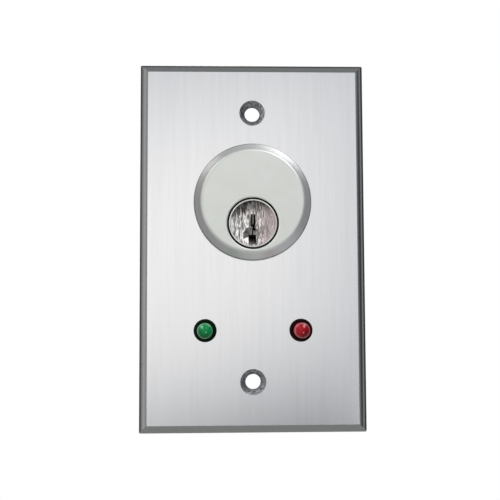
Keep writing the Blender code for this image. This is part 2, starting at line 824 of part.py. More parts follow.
def switch_contacts():
    """The three tabs, and the blade whose tip moves between two of them."""
    foot = CASE_TOP - CASE_HEIGHT + CASE_WALL + 1.8 * MM
    y = MECHANISM_Y
    low_y = y - TAB_THICK / 2
    high_y = y + TAB_THICK / 2
    gap = 0.06 * MM
    half = BLADE_WIDTH / 2
    common = terminal("common_terminal", TERMINAL_XS["common_terminal"], foot)
    riser_low = (BLADE_PIVOT_X - 1.9 * MM, low_y, foot - 1.2 * MM)
    riser_high = (BLADE_PIVOT_X + 0.3 * MM, high_y, BLADE_Z - gap)
    join_shapes(common, block("common_riser", riser_low, riser_high))
    terminal("no_terminal", TERMINAL_XS["no_terminal"], BLADE_Z - 1.1 * MM)
    closed = terminal("nc_terminal", TERMINAL_XS["nc_terminal"], foot)
    blade_top = BLADE_Z + BLADE_THICK
    riser_low = (BLADE_TIP_X + 0.6 * MM, low_y, foot - 1.2 * MM)
    riser_high = (BLADE_TIP_X + 2.4 * MM, high_y, blade_top + gap + 0.5 * MM)
    hook_low = (BLADE_TIP_X - 1.4 * MM, low_y, blade_top + gap)
    join_shapes(closed, block("nc_riser", riser_low, riser_high), block("nc_hook", hook_low, riser_high))
    blade_low = (BLADE_PIVOT_X - 0.6 * MM, y - half, BLADE_Z)
    blade_high = (BLADE_TIP_X, y + half, blade_top)
    blade = block("contact_blade", blade_low, blade_high, "silver_contact")
    on_axis("blade_axis", BLADE_PIVOT_X, BLADE_Z, [blade])


def case_screws():
    """Two screws through the cover, the case and the bracket, with a nut on each."""
    seat = CASE_Y + CASE_DEPTH + COVER_GAP + COVER_DEPTH
    for number, (x, z) in enumerate(SCREW_CENTRES, 1):
        reach = seat - (FLANGE_Y - SHEET - 3.4 * MM)
        machine_screw(f"switch_screw_{number}", x, z, seat, 5.2 * MM, 2.8 * MM, reach)
        front = FLANGE_Y - SHEET - 0.08 * MM
        low = front - NUT_THICK
        nut = rod_along_y(f"switch_nut_{number}", x, z, low, front, NUT_CORNERS, "zinc_plated", sides=6)
        nut.data.shade_flat()
        hole = 2.95 * MM * chord_scale(16)
        cut(nut, rod_along_y(f"nut_hole_{number}", x, z, low - MM, front + MM, hole, sides=16))


# Bracket and lock ring


def switch_bracket():
    """A folded strip: a base round the cylinder, a shelf below it and a flange for the switch."""
    front = BRACKET_Y
    bend = 2.0 * MM
    path = [(front, BRACKET_TOP), (front, SHELF_Z + bend)]
    path += fold((front + bend, SHELF_Z + bend), bend, 180, 270)
    path += fold((FLANGE_Y - SHEET - bend, SHELF_Z - bend), bend, 90, 0)
    path += [(FLANGE_Y - SHEET, FLANGE_BOTTOM)]
    width = BRACKET_HALF_WIDTH

    def build(bm):
        rails = [[bm.verts.new((x, y, z)) for y, z in path] for x in (-width, width)]
        for index in range(len(path) - 1):
            left = rails[0][index : index + 2]
            right = rails[1][index : index + 2]
            bm.faces.new((left[0], left[1], right[1], right[0]))

    bracket = add("switch_bracket", mesh_of("switch_bracket", build), "zinc_plated")
    sheet = bracket.modifiers.new("sheet", "SOLIDIFY")
    sheet.thickness = SHEET
    sheet.use_even_offset = True
    cut(bracket, rod_along_y("bracket_hole", 0, CYL_Z, -MM, 5 * MM, BODY_HOLE, sides=ROUND))
    for number, (x, z) in enumerate(SCREW_CENTRES, 1):
        cut(bracket, case_screw_cutter(f"bracket_screw_hole_{number}", x, z))
    for side in (-1, 1):
        corner = block(
            f"bracket_corner_{side}",
            (side * 26 * MM - 10 * MM, -MM, BRACKET_TOP - 8 * MM),
            (side * 26 * MM + 10 * MM, 5 * MM, BRACKET_TOP + 8 * MM),
        )
        corner.rotation_euler = (0, math.radians(45 * side), 0)
        cut(bracket, corner)


def fold(centre, radius, start, end):
    """A bend in (y, z), in four steps."""
    return arc(centre, radius, start, end, 4)


def lock_ring():
    """The threaded ring that holds the cylinder and bracket against the plate, with spanner slots."""
    low = BRACKET_Y + SHEET + 0.1 * MM
    high = low + RING_THICK
    hole = (BODY_DIA / 2 + 0.12 * MM) * chord_scale(ROUND)
    outer = RING_DIA / 2
    edge = 0.4 * MM
    profile = [
        (outer - edge, -low),
        (outer, -low - edge),
        (outer, -high + edge),
        (outer - edge, -high),
        (hole, -high),
        (hole, -low),
        (outer - edge, -low),
    ]
    ring = turned("lock_ring", profile, (0, 0, CYL_Z), "brass", axis=TOWARDS_FRONT)
    half = 1.6 * MM
    inside = outer - 2 * MM
    slot_floor = high - 2.2 * MM
    for index in range(SPANNER_SLOTS):
        slot = block(f"spanner_slot_{index}", (-half, slot_floor, inside), (half, high + MM, outer + 2 * MM))
        around = Matrix.Rotation(math.tau * (index + 0.5) / SPANNER_SLOTS, 4, "Y")
        slot.matrix_world = Matrix.Translation((0, 0, CYL_Z)) @ around @ slot.matrix_world
        cut(ring, slot)


# Indicator lamps


def lamp(colour, side):
    """A lamp in its snap-in holder, with a retainer behind the plate and two leads."""
    x = side * LAMP_X
    centre = (x, 0, LAMP_Z)
    front = PLATE_THICK + 0.05 * MM
    flange_thick = 0.9 * MM
    lens = LENS_DIA / 2
    lens_gap = 0.1 * MM
    holder_back = -HOLDER_END
    holder_profile = [
        (lens + 0.25 * MM, front + flange_thick),
        (RING_OUTER / 2 - 0.35 * MM, front + flange_thick),
        (RING_OUTER / 2, front + flange_thick - 0.4 * MM),
        (RING_OUTER / 2, front),
        (LAMP_HOLE / 2 - 0.12 * MM, front),
        (LAMP_HOLE / 2 - 0.12 * MM, holder_back),
        (lens + lens_gap, holder_back),
        (lens + lens_gap, front + flange_thick - 0.2 * MM),
        (lens + 0.25 * MM, front + flange_thick),
    ]
    name = f"{colour}_lamp_holder"
    turned(name, holder_profile, centre, "black_plastic", sides=32, axis=TOWARDS_FRONT)
    tip = PLATE_THICK + LENS_PROUD
    shoulder = tip - lens
    dome = [(z, shoulder + r) for z, r in reversed(arc((0, 0), lens, 0, 90, 6))]
    lens_profile = [(0, tip)] + dome[1:]
    lens_profile += [
        (lens, holder_back - 0.1 * MM),
        (LAMP_FLANGE, holder_back - 0.1 * MM),
        (LAMP_FLANGE, holder_back - 1.1 * MM),
        (0, holder_back - 1.1 * MM),
    ]
    turned(f"{colour}_lamp", lens_profile, centre, f"{colour}_lens", sides=32, axis=TOWARDS_FRONT)
    sleeve = LAMP_HOLE / 2 + 0.02 * MM
    outer = RETAINER_DIA / 2
    edge = 0.4 * MM
    retainer_profile = [
        (outer - edge, -BRACKET_Y),
        (outer, -BRACKET_Y - edge),
        (outer, -3.4 * MM),
        (sleeve, -3.4 * MM),
        (sleeve, -BRACKET_Y),
        (outer - edge, -BRACKET_Y),
    ]
    name = f"{colour}_lamp_retainer"
    turned(name, retainer_profile, centre, "black_plastic", sides=32, axis=TOWARDS_FRONT)
    back = -holder_back + 1.1 * MM + 0.05 * MM
    for lead, offset in (("anode", -LEAD_PITCH / 2), ("cathode", LEAD_PITCH / 2)):
        name = f"{colour}_{lead}"
        rod_along_y(name, x + offset, LAMP_Z, back, LEAD_END, LEAD_WIRE, "tinned_copper", sides=8)


clear_scene()
PARTS = collection("selector_key_switch")
CUTTERS = collection("cutters", hidden=True)

faceplate()
cylinder_shell()
turning = [cylinder_plug()]
for pin in range(PIN_COUNT):
    turning.append(key_pin(pin))
    driver_pin(pin)
    pin_spring(pin)
turning += cam()
on_axis("plug_axis", 0, PLUG_Z, turning)
switch_bracket()
lock_ring()
switch_case()
switch_cover()
switch_plunger()
switch_contacts()
case_screws()
pin_start = CASE_Y + 0.1 * MM
rod_along_y("lever_pin", *LEVER_PIVOT, pin_start, CASE_Y + CASE_DEPTH, LEVER_PIN_DIA, "steel", sides=16)
lever_parts()
lamp("green", -1)
lamp("red", 1)
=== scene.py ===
"""The look of the selector key switch: fine meshes, procedural materials, camera and studio light.

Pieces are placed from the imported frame. Lengths are in metres, written as millimetres times MM, and the
relief in materials is in micrometres.
"""

import math

import bmesh
import bpy
from mathutils import Matrix, Vector


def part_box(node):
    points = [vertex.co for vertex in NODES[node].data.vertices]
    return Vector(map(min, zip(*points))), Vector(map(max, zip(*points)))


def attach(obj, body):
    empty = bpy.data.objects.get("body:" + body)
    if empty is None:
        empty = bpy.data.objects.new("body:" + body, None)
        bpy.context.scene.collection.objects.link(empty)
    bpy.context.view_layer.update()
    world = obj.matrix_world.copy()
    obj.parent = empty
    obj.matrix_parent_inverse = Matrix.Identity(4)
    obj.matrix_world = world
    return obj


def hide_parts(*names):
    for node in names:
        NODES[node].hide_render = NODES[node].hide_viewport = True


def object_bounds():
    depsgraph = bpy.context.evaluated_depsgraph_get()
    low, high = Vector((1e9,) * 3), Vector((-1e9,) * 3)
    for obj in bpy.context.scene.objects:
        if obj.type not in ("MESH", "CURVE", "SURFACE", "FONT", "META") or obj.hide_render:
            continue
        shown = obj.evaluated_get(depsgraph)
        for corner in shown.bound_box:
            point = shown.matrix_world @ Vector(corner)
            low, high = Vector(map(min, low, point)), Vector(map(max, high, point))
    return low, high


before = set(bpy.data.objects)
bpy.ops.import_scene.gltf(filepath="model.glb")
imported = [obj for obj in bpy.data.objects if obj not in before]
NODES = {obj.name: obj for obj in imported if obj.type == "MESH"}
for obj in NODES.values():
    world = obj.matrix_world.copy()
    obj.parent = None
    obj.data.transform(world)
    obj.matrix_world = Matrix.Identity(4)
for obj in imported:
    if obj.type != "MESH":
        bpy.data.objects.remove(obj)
CAD_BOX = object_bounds()

MM = 0.001
MICRON = 0.000001
FINE = 128
ROUND = 64
SMALL = 32
CYLINDER_HOLE = 29.7 * MM
PIN_CHAMBER = 3.1 * MM
TOWARDS_FRONT = Matrix.Rotation(math.radians(90), 4, "X")
TOWARDS_BACK = Matrix.Rotation(math.radians(-90), 4, "X")


def box_of(node):
    """(low, high, centre) of a CAD node."""
    low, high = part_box(node)
    return low, high, (low + high) / 2


# Mesh tools


def new_object(name, mesh, matrix=None):
    obj = bpy.data.objects.new(name, mesh)
    obj.matrix_world = matrix or Matrix()
    bpy.context.scene.collection.objects.link(obj)
    return obj


def mesh_from(name, build):
    bm = bmesh.new()
    build(bm)
    mesh = bpy.data.meshes.new(name)
    bm.to_mesh(mesh)
    bm.free()
    return mesh


def block(name, low, high):
    low = Vector(low)
    high = Vector(high)

    def build(bm):
        bmesh.ops.create_cube(bm, size=1, matrix=Matrix.Diagonal((*(high - low), 1)))

    return new_object(name, mesh_from(name, build), Matrix.Translation((low + high) / 2))


def rod(name, start, end, diameter, sides=SMALL):
    start = Vector(start)
    run = Vector(end) - start

    def build(bm):
        bmesh.ops.create_cone(
            bm, cap_ends=True, segments=sides, radius1=diameter / 2, radius2=diameter / 2, depth=run.length
        )

    turn = Vector((0, 0, 1)).rotation_difference(run).to_matrix().to_4x4()
    return new_object(name, mesh_from(name, build), Matrix.Translation(start + run / 2) @ turn)


def turned(name, profile, centre, axis=TOWARDS_FRONT, sides=ROUND):
    """A turned solid from (radius, height) pairs, top to bottom down its outer side."""
    ring = profile[0] == profile[-1]

    def build(bm):
        points = [bm.verts.new((radius, 0, height)) for radius, height in profile[: -1 if ring else None]]
        for upper, lower in zip(points, points[1:] + points[:1] if ring else points[1:]):
            bm.edges.new((upper, lower))

    obj = new_object(name, mesh_from(name, build), Matrix.Translation(centre) @ axis)
    screw = obj.modifiers.new("turn", "SCREW")
    screw.steps = sides
    screw.render_steps = sides
    screw.use_merge_vertices = True
    screw.merge_threshold = MICRON
    settle(obj)
    return obj


def outline(name, points, y_low, y_high):
    """A flat plate with this (x, z) outline between two depths."""
    curve = bpy.data.curves.new(name, "CURVE")
    curve.dimensions = "2D"
    curve.fill_mode = "BOTH"
    curve.extrude = (y_high - y_low) / 2
    spline = curve.splines.new("POLY")
    spline.points.add(len(points) - 1)
    for point, (x, z) in zip(spline.points, points):
        point.co = (x, z, 0, 1)
    spline.use_cyclic_u = True
    guide = new_object(name + "_guide", curve)
    mesh = bpy.data.meshes.new_from_object(guide.evaluated_get(bpy.context.evaluated_depsgraph_get()))
    bpy.data.objects.remove(guide)
    bm = bmesh.new()
    bm.from_mesh(mesh)
    bmesh.ops.remove_doubles(bm, verts=bm.verts, dist=MICRON)
    bmesh.ops.recalc_face_normals(bm, faces=bm.faces)
    bm.to_mesh(mesh)
    bm.free()
    return new_object(name, mesh, Matrix.Translation((0, (y_low + y_high) / 2, 0)) @ TOWARDS_FRONT)


def settle(obj):
    """Makes the evaluated shape the object's own mesh, in world coordinates."""
    bpy.context.view_layer.update()
    mesh = bpy.data.meshes.new_from_object(obj.evaluated_get(bpy.context.evaluated_depsgraph_get()))
    mesh.transform(obj.matrix_world)
    obj.modifiers.clear()
    obj.data = mesh
    obj.matrix_world = Matrix()


def cut(obj, *cutters, operation="DIFFERENCE"):
    """Cuts these shapes away, or unites them, and removes the helpers."""
    for cutter in cutters:
        hole = obj.modifiers.new(cutter.name, "BOOLEAN")
        hole.operation = operation
        hole.object = cutter
        hole.solver = "EXACT"
    settle(obj)
    for cutter in cutters:
        bpy.data.objects.remove(cutter)


def soften(obj, width, segments=2, angle=30):
    """Rounds the sharp edges."""
    edge = obj.modifiers.new("edge", "BEVEL")
    edge.width = width
    edge.segments = segments
    edge.limit_method = "ANGLE"
    edge.angle_limit = math.radians(angle)
    edge.use_clamp_overlap = True


def smooth(obj, angle=32):
    obj.data.shade_smooth()
    obj.data.set_sharp_from_angle(angle=math.radians(angle))


def arc(centre, radius, start, end, steps):
    """Points on an arc, its angles in degrees from the first axis to the second."""
    points = []
    for step in range(steps + 1):
        angle = math.radians(start + (end - start) * step / steps)
        points.append((centre[0] + radius * math.cos(angle), centre[1] + radius * math.sin(angle)))
    return points


def stand_for(obj, look, slot, body, *nodes, angle=32):
    """Finishes a fine piece: its material, its smooth shading, and the CAD nodes that it replaces."""
    obj.data.materials.clear()
    obj.data.materials.append(look)
    smooth(obj, angle)
    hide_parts(*nodes)
    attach(obj, body)


# Material tools


class Nodes:
    """A node tree being built, and short ways to add the usual nodes; a value may be another's output."""

    def __init__(self, tree):
        self.tree = tree

    def node(self, kind, **settings):
        made = self.tree.nodes.new(kind)
        for name, setting in settings.items():
            setattr(made, name, setting)
        return made

    def feed(self, sockets, values):
        """Links each socket to its output, or gives it its plain value."""
        for socket, value in zip(sockets, values):
            if isinstance(value, bpy.types.NodeSocket):
                self.tree.links.new(value, socket)
            else:
                socket.default_value = value

    def math(self, operation, *values):
        made = self.node("ShaderNodeMath", operation=operation)
        self.feed(made.inputs, values)
        return made.outputs[0]

    def spread(self, source, low, high, out_low=0.0, out_high=1.0, interpolation="LINEAR"):
        """Maps low..high to out_low..out_high."""
        made = self.node("ShaderNodeMapRange", interpolation_type=interpolation)
        self.feed(made.inputs, (source, low, high, out_low, out_high))
        return made.outputs[0]

    def ramp(self, source, *stops):
        """Maps 0..1 through (position, colour or grey) stops."""
        made = self.node("ShaderNodeValToRGB")
        points = made.color_ramp.elements
        while len(points) < len(stops):
            points.new(0.5)
        for point, (place, value) in zip(points, stops):
            point.position = place
            point.color = (*value, 1) if isinstance(value, tuple) else (value, value, value, 1)
        self.feed(made.inputs, [source])
        return made.outputs["Color"]

    def mix(self, a, b, factor, blend="MIX"):
        """Blends two colours."""
        made = self.node("ShaderNodeMix", data_type="RGBA", blend_type=blend)
        self.feed((made.inputs[0], made.inputs[6], made.inputs[7]), (factor, a, b))
        return made.outputs[2]

    def between(self, a, b, factor):
        """Blends two numbers."""
        made = self.node("ShaderNodeMix", data_type="FLOAT")
        self.feed((made.inputs[0], made.inputs[2], made.inputs[3]), (factor, a, b))
        return made.outputs[0]


class Look(Nodes):
    """A material being built on the object's own coordinates."""

    def __init__(self, name, colour, metallic, roughness):
        self.made = bpy.data.materials.new(name)
        self.made.use_nodes = True
        super().__init__(self.made.node_tree)
        self.shader = self.tree.nodes["Principled BSDF"]
        self.set("Base Color", (*colour, 1))
        self.set("Metallic", metallic)
        self.set("Roughness", roughness)
        self.where = self.node("ShaderNodeTexCoord").outputs["Object"]

    def set(self, name, value):
        self.feed([self.shader.inputs[name]], [value])

    def noise(self, scale, detail=2.0, rough=0.5, distortion=0.0, shift=(0, 0, 0)):
        """Noise in 0..1. Its scale is in features per metre, one number or one along each axis."""
        mapping = self.node("ShaderNodeMapping")
        mapping.inputs["Scale"].default_value = scale if isinstance(scale, tuple) else (scale, scale, scale)
        mapping.inputs["Location"].default_value = shift
        self.feed([mapping.inputs["Vector"]], [self.where])
        made = self.node("ShaderNodeTexNoise")
        made.inputs["Scale"].default_value = 1
        made.inputs["Detail"].default_value = detail
        made.inputs["Roughness"].default_value = rough
        made.inputs["Distortion"].default_value = distortion
        self.feed([made.inputs["Vector"]], [mapping.outputs["Vector"]])
        return made.outputs["Fac"]

    def places(self):
        """How far across and how far up each point lies, in metres."""
        split = self.node("ShaderNodeSeparateXYZ")
        self.feed(split.inputs, [self.where])
        return split.outputs["X"], split.outputs["Z"]

    def spot(self, x, z, size):
        """1 at a place seen from the front, fading to 0 this far from it."""
        flat = self.node("ShaderNodeVectorMath", operation="MULTIPLY")
        self.feed(flat.inputs, (self.where, (1, 0, 1)))
        gap = self.node("ShaderNodeVectorMath", operation="DISTANCE")
        self.feed(gap.inputs, (flat.outputs[0], (x, 0, z)))
        return self.spread(gap.outputs["Value"], size, size * 0.3, interpolation="SMOOTHSTEP")

    def square(self, source):
        return self.math("MULTIPLY", source, source)

    def colour(self, source):
        self.set("Base Color", source)

    def roughness(self, source, low, high):
        """Roughness that follows a 0..1 pattern between two values."""
        self.set("Roughness", self.spread(source, 0.0, 1.0, low, high))

    def bump(self, *layers):
        """Stacks (pattern, depth in micrometres, strength) layers of relief."""
        last = None
        for source, depth, strength in layers:
            made = self.node("ShaderNodeBump")
            made.inputs["Strength"].default_value = strength
            made.inputs["Distance"].default_value = depth * MICRON
            self.feed([made.inputs["Height"]], [source])
            if last:
                self.feed([made.inputs["Normal"]], [last])
            last = made.outputs["Normal"]
        self.set("Normal", last)


# Materials


def brushed_plate():
    """Aluminium with a fine vertical grain, short faint strokes and soft clouding."""
    look = Look("brushed_aluminium", (0.90, 0.905, 0.91), 1.0, 0.20)
    hair = look.noise((9000, 9000, 60), detail=3, rough=0.6)
    stroke = look.noise((1100, 1100, 40), detail=4, rough=0.6)
    band = look.noise((260, 260, 16), detail=3, rough=0.55)
    cloud = look.noise((26, 26, 12), detail=2)
    tone = look.ramp(hair, (0.30, (0.900, 0.893, 0.902)), (0.70, (0.925, 0.918, 0.928)))
    strokes = look.ramp(stroke, (0.34, 0.978), (0.50, 0.997), (0.66, 1.010))
    patchy = look.ramp(cloud, (0.30, (0.98, 0.985, 0.99)), (0.70, (1.0, 0.997, 0.993)))
    bands = look.ramp(band, (0.34, 0.984), (0.66, 1.008))
    for layer in (strokes, bands, patchy):
        tone = look.mix(tone, layer, 1.0, "MULTIPLY")
    look.colour(tone)
    look.roughness(hair, 0.17, 0.24)
    look.bump((stroke, 10, 0.08), (hair, 4, 0.25))
    return look.made


def machined_edge():
    """The cut bevel: a close cutter finish, with darker and paler nicks."""
    look = Look("machined_aluminium", (0.40, 0.41, 0.41), 1.0, 0.13)
    grain = look.noise(1500, detail=3, rough=0.6)
    nick = look.noise((160, 160, 420), detail=5, rough=0.75)
    tone = look.ramp(grain, (0.30, (0.395, 0.39, 0.372)), (0.70, (0.445, 0.44, 0.42)))
    marks = look.ramp(nick, (0.28, 0.80), (0.38, 1.0), (0.68, 1.0), (0.76, 1.10))
    look.colour(look.mix(tone, marks, 1.0, "MULTIPLY"))
    look.roughness(grain, 0.11, 0.16)
    look.bump((nick, 20, 0.12), (grain, 4, 0.20))
    return look.made


def bright_nickel_and_painted_highlight(name, metallic):
    """Nearly white, with a fine grain: the plug's bright rim, and a painted highlight in the scoop."""
    look = Look(name, (0.92, 0.90, 0.88), metallic, 0.32)
    grain = look.noise(2600, detail=3)
    look.colour(look.ramp(grain, (0.30, (0.82, 0.78, 0.73)), (0.62, (0.99, 0.96, 0.91))))
    look.roughness(grain, 0.24, 0.40)
    look.bump((grain, 10, 0.3))
    return look.made


def rough_bore():
    """The drilled and countersunk holes: chattered, darker metal."""
    look = Look("countersunk_aluminium", (0.42, 0.43, 0.44), 1.0, 0.42)
    chatter = look.noise(1500, detail=4, rough=0.85)
    dark = (0.13, 0.14, 0.145)
    middle = (0.34, 0.35, 0.36)
    bright = (0.74, 0.76, 0.78)
    look.colour(look.ramp(chatter, (0.38, dark), (0.50, middle), (0.62, bright)))
    look.roughness(chatter, 0.32, 0.55)
    look.bump((chatter, 120, 0.8))
    return look.made


def bore_painted_shade():
    """The step round the plug, darkened as painted shade in the recess."""
    look = Look("bore_painted_shade", (0.05, 0.047, 0.042), 0.6, 0.55)
    shade_mottle = look.noise(900, detail=4)
    look.colour(look.ramp(shade_mottle, (0.35, (0.020, 0.018, 0.015)), (0.68, (0.11, 0.10, 0.09))))
    look.roughness(shade_mottle, 0.45, 0.65)
    look.bump((shade_mottle, 50, 0.5))
    return look.made


def satin_head():
    """A satin plated casting: a faintly green face, and a slope with painted shade, darkest on its left,
    with a painted shadow at its foot.
    """
    look = Look("satin_zinc", (0.87, 0.89, 0.85), 0.80, 0.42)
    mottle = look.noise(240, detail=3)
    fine = look.noise(5200, detail=2)
    face = look.ramp(mottle, (0.35, (0.94, 0.955, 0.885)), (0.65, (0.98, 0.99, 0.93)))
    low, high, centre = box_of("cylinder_shell")
    across, up = look.places()
    above = look.math("SUBTRACT", up, centre.z)
    out = look.math("SQRT", look.math("ADD", look.square(across), look.square(above)))
    side = look.math("ADD", look.math("DIVIDE", across, high.x - low.x), 0.5)
    # Painted shade: the slope is darkened towards its left and lightened towards its right.
    slope = look.ramp(side, (0.0, (0.46, 0.45, 0.43)), (0.5, (0.90, 0.89, 0.86)), (1.0, (1.0, 0.985, 0.985)))
    edge = look.math("MULTIPLY", look.math("SUBTRACT", out, 15.0 * MM), 0.3 / MM)
    on_slope = look.ramp(edge, (0.0, 0.0), (0.42, 1.0))
    # Painted shadow: a dark ring at the foot of the slope, where it meets the plate.
    painted_foot_shadow = look.ramp(edge, (0.82, 1.0), (0.93, 0.42))
    look.colour(look.mix(look.mix(face, slope, on_slope), painted_foot_shadow, 1.0, "MULTIPLY"))
    look.roughness(mottle, 0.38, 0.46)
    look.bump((mottle, 20, 0.10), (fine, 6, 0.22))
    return look.made


def scratched_nickel():
    """Worn bright plating: pale streaks on the left, a smoother right tinted pinkish and darker as painted
    reflection, and painted shade at the top.
    """
    look = Look("nickel", (0.80, 0.77, 0.76), 1.0, 0.20)
    broad = look.noise((1900, 1900, 400), detail=2, rough=0.5, distortion=0.9)
    thin = look.noise((3000, 3000, 420), detail=3, rough=0.6, distortion=0.5, shift=(3, 1, 2))
    stain = look.noise((170, 170, 120), detail=3, distortion=0.6, shift=(5, 2, 9))
    across, up = look.places()
    # Painted shade: darker towards the top of the plug face, along a wavering line.
    wander = look.math("ADD", look.math("MULTIPLY", stain, 6.0 * MM), look.math("MULTIPLY", across, -0.22))
    height = look.math("ADD", up, wander)
    share = look.math("DIVIDE", look.math("SUBTRACT", height, 3.5 * MM), 13.5 * MM)
    painted_top_shade = look.ramp(share, (0.56, 1.0), (0.70, 0.62), (0.80, 0.24), (1.0, 0.11))
    # Painted reflection: the left side paler, the right side darker and pinkish.
    side = look.math("ADD", look.math("DIVIDE", across, 14.0 * MM), 0.5)
    painted_side_reflection = look.ramp(side, (0.35, (0.82, 0.785, 0.75)), (0.75, (0.55, 0.475, 0.465)))
    streaks = look.ramp(broad, (0.38, 0.26), (0.48, 0.70), (0.54, 1.30), (0.62, 2.0))
    calm = look.ramp(side, (0.55, 0.0), (0.80, 0.66))
    streaks = look.mix(streaks, (0.92, 0.92, 0.92, 1), calm)
    lines = look.ramp(thin, (0.34, 0.72), (0.66, 1.12))
    tone = look.mix(look.mix(painted_side_reflection, streaks, 1.0, "MULTIPLY"), painted_top_shade, 1.0, "MULTIPLY")
    look.colour(look.mix(tone, lines, 1.0, "MULTIPLY"))
    look.roughness(thin, 0.14, 0.32)
    look.bump((broad, 100, 0.5), (thin, 30, 0.3))
    return look.made


def plain_metal(name, dark, light, rough, grain=900, relief=10):
    """A machined or rolled metal, whose grain runs along the axis where its scale is lowest."""
    look = Look(name, light, 1.0, rough)
    lines = look.noise(grain, detail=4, rough=0.65)
    cloud = look.noise(130, detail=3)
    tone = look.ramp(lines, (0.30, dark), (0.70, light))
    patchy = look.ramp(cloud, (0.30, 0.88), (0.70, 1.0))
    look.colour(look.mix(tone, patchy, 1.0, "MULTIPLY"))
    look.roughness(lines, rough * 0.8, rough * 1.25)
    look.bump((cloud, relief * 3, 0.15), (lines, relief, 0.4))
    return look.made


def zinc_plate():
    """Zinc plating with a faint blue and straw shimmer."""
    look = Look("zinc_plated", (0.66, 0.68, 0.71), 1.0, 0.34)
    cloud = look.noise(95, detail=3, distortion=0.6)
    grain = look.noise(1100, detail=4, rough=0.7)
    blue = (0.60, 0.64, 0.70)
    grey = (0.68, 0.69, 0.70)
    straw = (0.72, 0.70, 0.64)
    tint = look.ramp(cloud, (0.32, blue), (0.50, grey), (0.68, straw))
    speck = look.ramp(grain, (0.30, 0.84), (0.66, 1.0))
    look.colour(look.mix(tint, speck, 1.0, "MULTIPLY"))
    look.roughness(grain, 0.26, 0.44)
    look.bump((cloud, 30, 0.12), (grain, 10, 0.35))
    return look.made


def moulded(name, colour, rough, grain=2600, coat=0.0, specular=0.5):
    """A moulded plastic: fine spark-eroded texture and slight mottling."""
    look = Look(name, colour, 0.0, rough)
    fine = look.noise(grain, detail=3, rough=0.6)
    cloud = look.noise(210, detail=3)
    pale = tuple(min(1.0, channel * 1.35 + 0.004) for channel in colour)
    deep = tuple(channel * 0.80 for channel in colour)
    look.colour(look.ramp(cloud, (0.30, deep), (0.70, pale)))
    look.roughness(fine, rough * 0.8, rough * 1.2)
    look.bump((fine, 20, 0.4))
    look.set("Specular IOR Level", specular)
    look.set("Coat Weight", coat)
    look.set("Coat Roughness", 0.08)
    return look.made


def lens(tint, colour, deep, painted_highlights):
    """Tinted epoxy, with painted shade low on its outer side and painted highlights.

    A painted highlight is (right, above, size, colour), in millimetres from the lens's middle.
    """
    look = Look(f"{tint}_lens", colour, 0.0, 0.10)
    cloud = look.noise(420, detail=2)
    centre = box_of(f"{tint}_lamp")[2]
    outer_side = math.copysign(0.06 / MM, centre.x)
    across, up = look.places()
    # Painted shade: the colour turns to deep low on the lens's outer side.
    painted_outer_shade = look.math("MULTIPLY", look.math("SUBTRACT", across, centre.x), outer_side)
    low = look.math("MULTIPLY", look.math("SUBTRACT", up, centre.z), -0.11 / MM)
    share = look.math("ADD", look.math("ADD", painted_outer_shade, low), look.math("MULTIPLY", cloud, 0.6))
    tone = look.ramp(share, (0.0, colour), (0.25, colour), (0.60, deep))
    # Painted highlights: pale spots for the light's reflection on the dome and the die cup seen through it.
    for right, above, size, pale in painted_highlights:
        spot = look.spot(centre.x + right * MM, centre.z + above * MM, size * MM)
        tone = look.mix(tone, (*pale, 1), spot)
    look.colour(tone)
    skin = look.noise(1600, detail=2)
    look.roughness(skin, 0.07, 0.15)
    look.bump((cloud, 30, 0.08))
    look.set("Specular IOR Level", 0.22)
    return look.made


PLATE = brushed_plate()
EDGE = machined_edge()
BORE = rough_bore()
HEAD = satin_head()
PAINTED_RECESS_SHADE = bore_painted_shade()
NICKEL = scratched_nickel()
RIM = bright_nickel_and_painted_highlight("nickel_rim", 0.55)
# A painted highlight on the scoop's lower left facets.
PAINTED_SCOOP_HIGHLIGHT = bright_nickel_and_painted_highlight("nickel_painted_highlight", 1.0)
# Darker nickel with a machined grain, as painted shade in the scoop.
SCOOP = plain_metal("scooped_nickel", (0.14, 0.12, 0.11), (0.62, 0.58, 0.56), 0.24, 1100, 60)
# Dark nickel on the ward, as painted shade inside the keyway.
WARD = plain_metal("ward_painted_shade", (0.05, 0.045, 0.04), (0.26, 0.24, 0.22), 0.34, (1300, 1300, 700), 30)
ZINC = zinc_plate()
BRASS = plain_metal("brass", (0.50, 0.36, 0.15), (0.76, 0.58, 0.28), 0.30, 1400)
STEEL = plain_metal("steel", (0.46, 0.47, 0.48), (0.68, 0.69, 0.70), 0.26, (160, 4200, 4200))
SILVER = plain_metal("silver_contact", (0.60, 0.58, 0.52), (0.84, 0.82, 0.77), 0.24, (200, 3600, 3600))
TINNED = plain_metal("tinned_copper", (0.55, 0.54, 0.51), (0.76, 0.75, 0.72), 0.30, (2400, 300, 2400))
CASE = moulded("grey_case", (0.030, 0.030, 0.033), 0.50)
RED_BUTTON = moulded("red_plunger", (0.42, 0.035, 0.03), 0.34, coat=0.2)
NYLON = moulded("white_nylon", (0.72, 0.71, 0.67), 0.46, grain=1800)
BLACK = moulded("black_plastic", (0.006, 0.006, 0.006), 0.36)
# Black plastic tinted dark green and dark red as a painted reflection of the lenses.
BEZEL = {
    "green": moulded("green_bezel_painted_reflection", (0.0010, 0.0120, 0.0022), 0.36, specular=0.07),
    "red": moulded("red_bezel_painted_reflection", (0.0170, 0.0010, 0.0012), 0.36, specular=0.07),
}
# Each lens gets its colour, its painted shade colour and its painted highlights.
LENS = {
    "green": lens(
        "green",
        (0.008, 0.33, 0.090),
        (0.003, 0.12, 0.028),
        [(-0.85, 1.20, 0.62, (0.25, 0.68, 0.36)), (0.35, -0.30, 0.28, (0.45, 0.90, 0.55))],
    ),
    "red": lens(
        "red",
        (0.50, 0.009, 0.018),
        (0.22, 0.002, 0.008),
        [(0.40, 1.40, 0.55, (0.90, 0.32, 0.36)), (0.12, -0.60, 0.28, (0.95, 0.42, 0.45))],
    ),
}
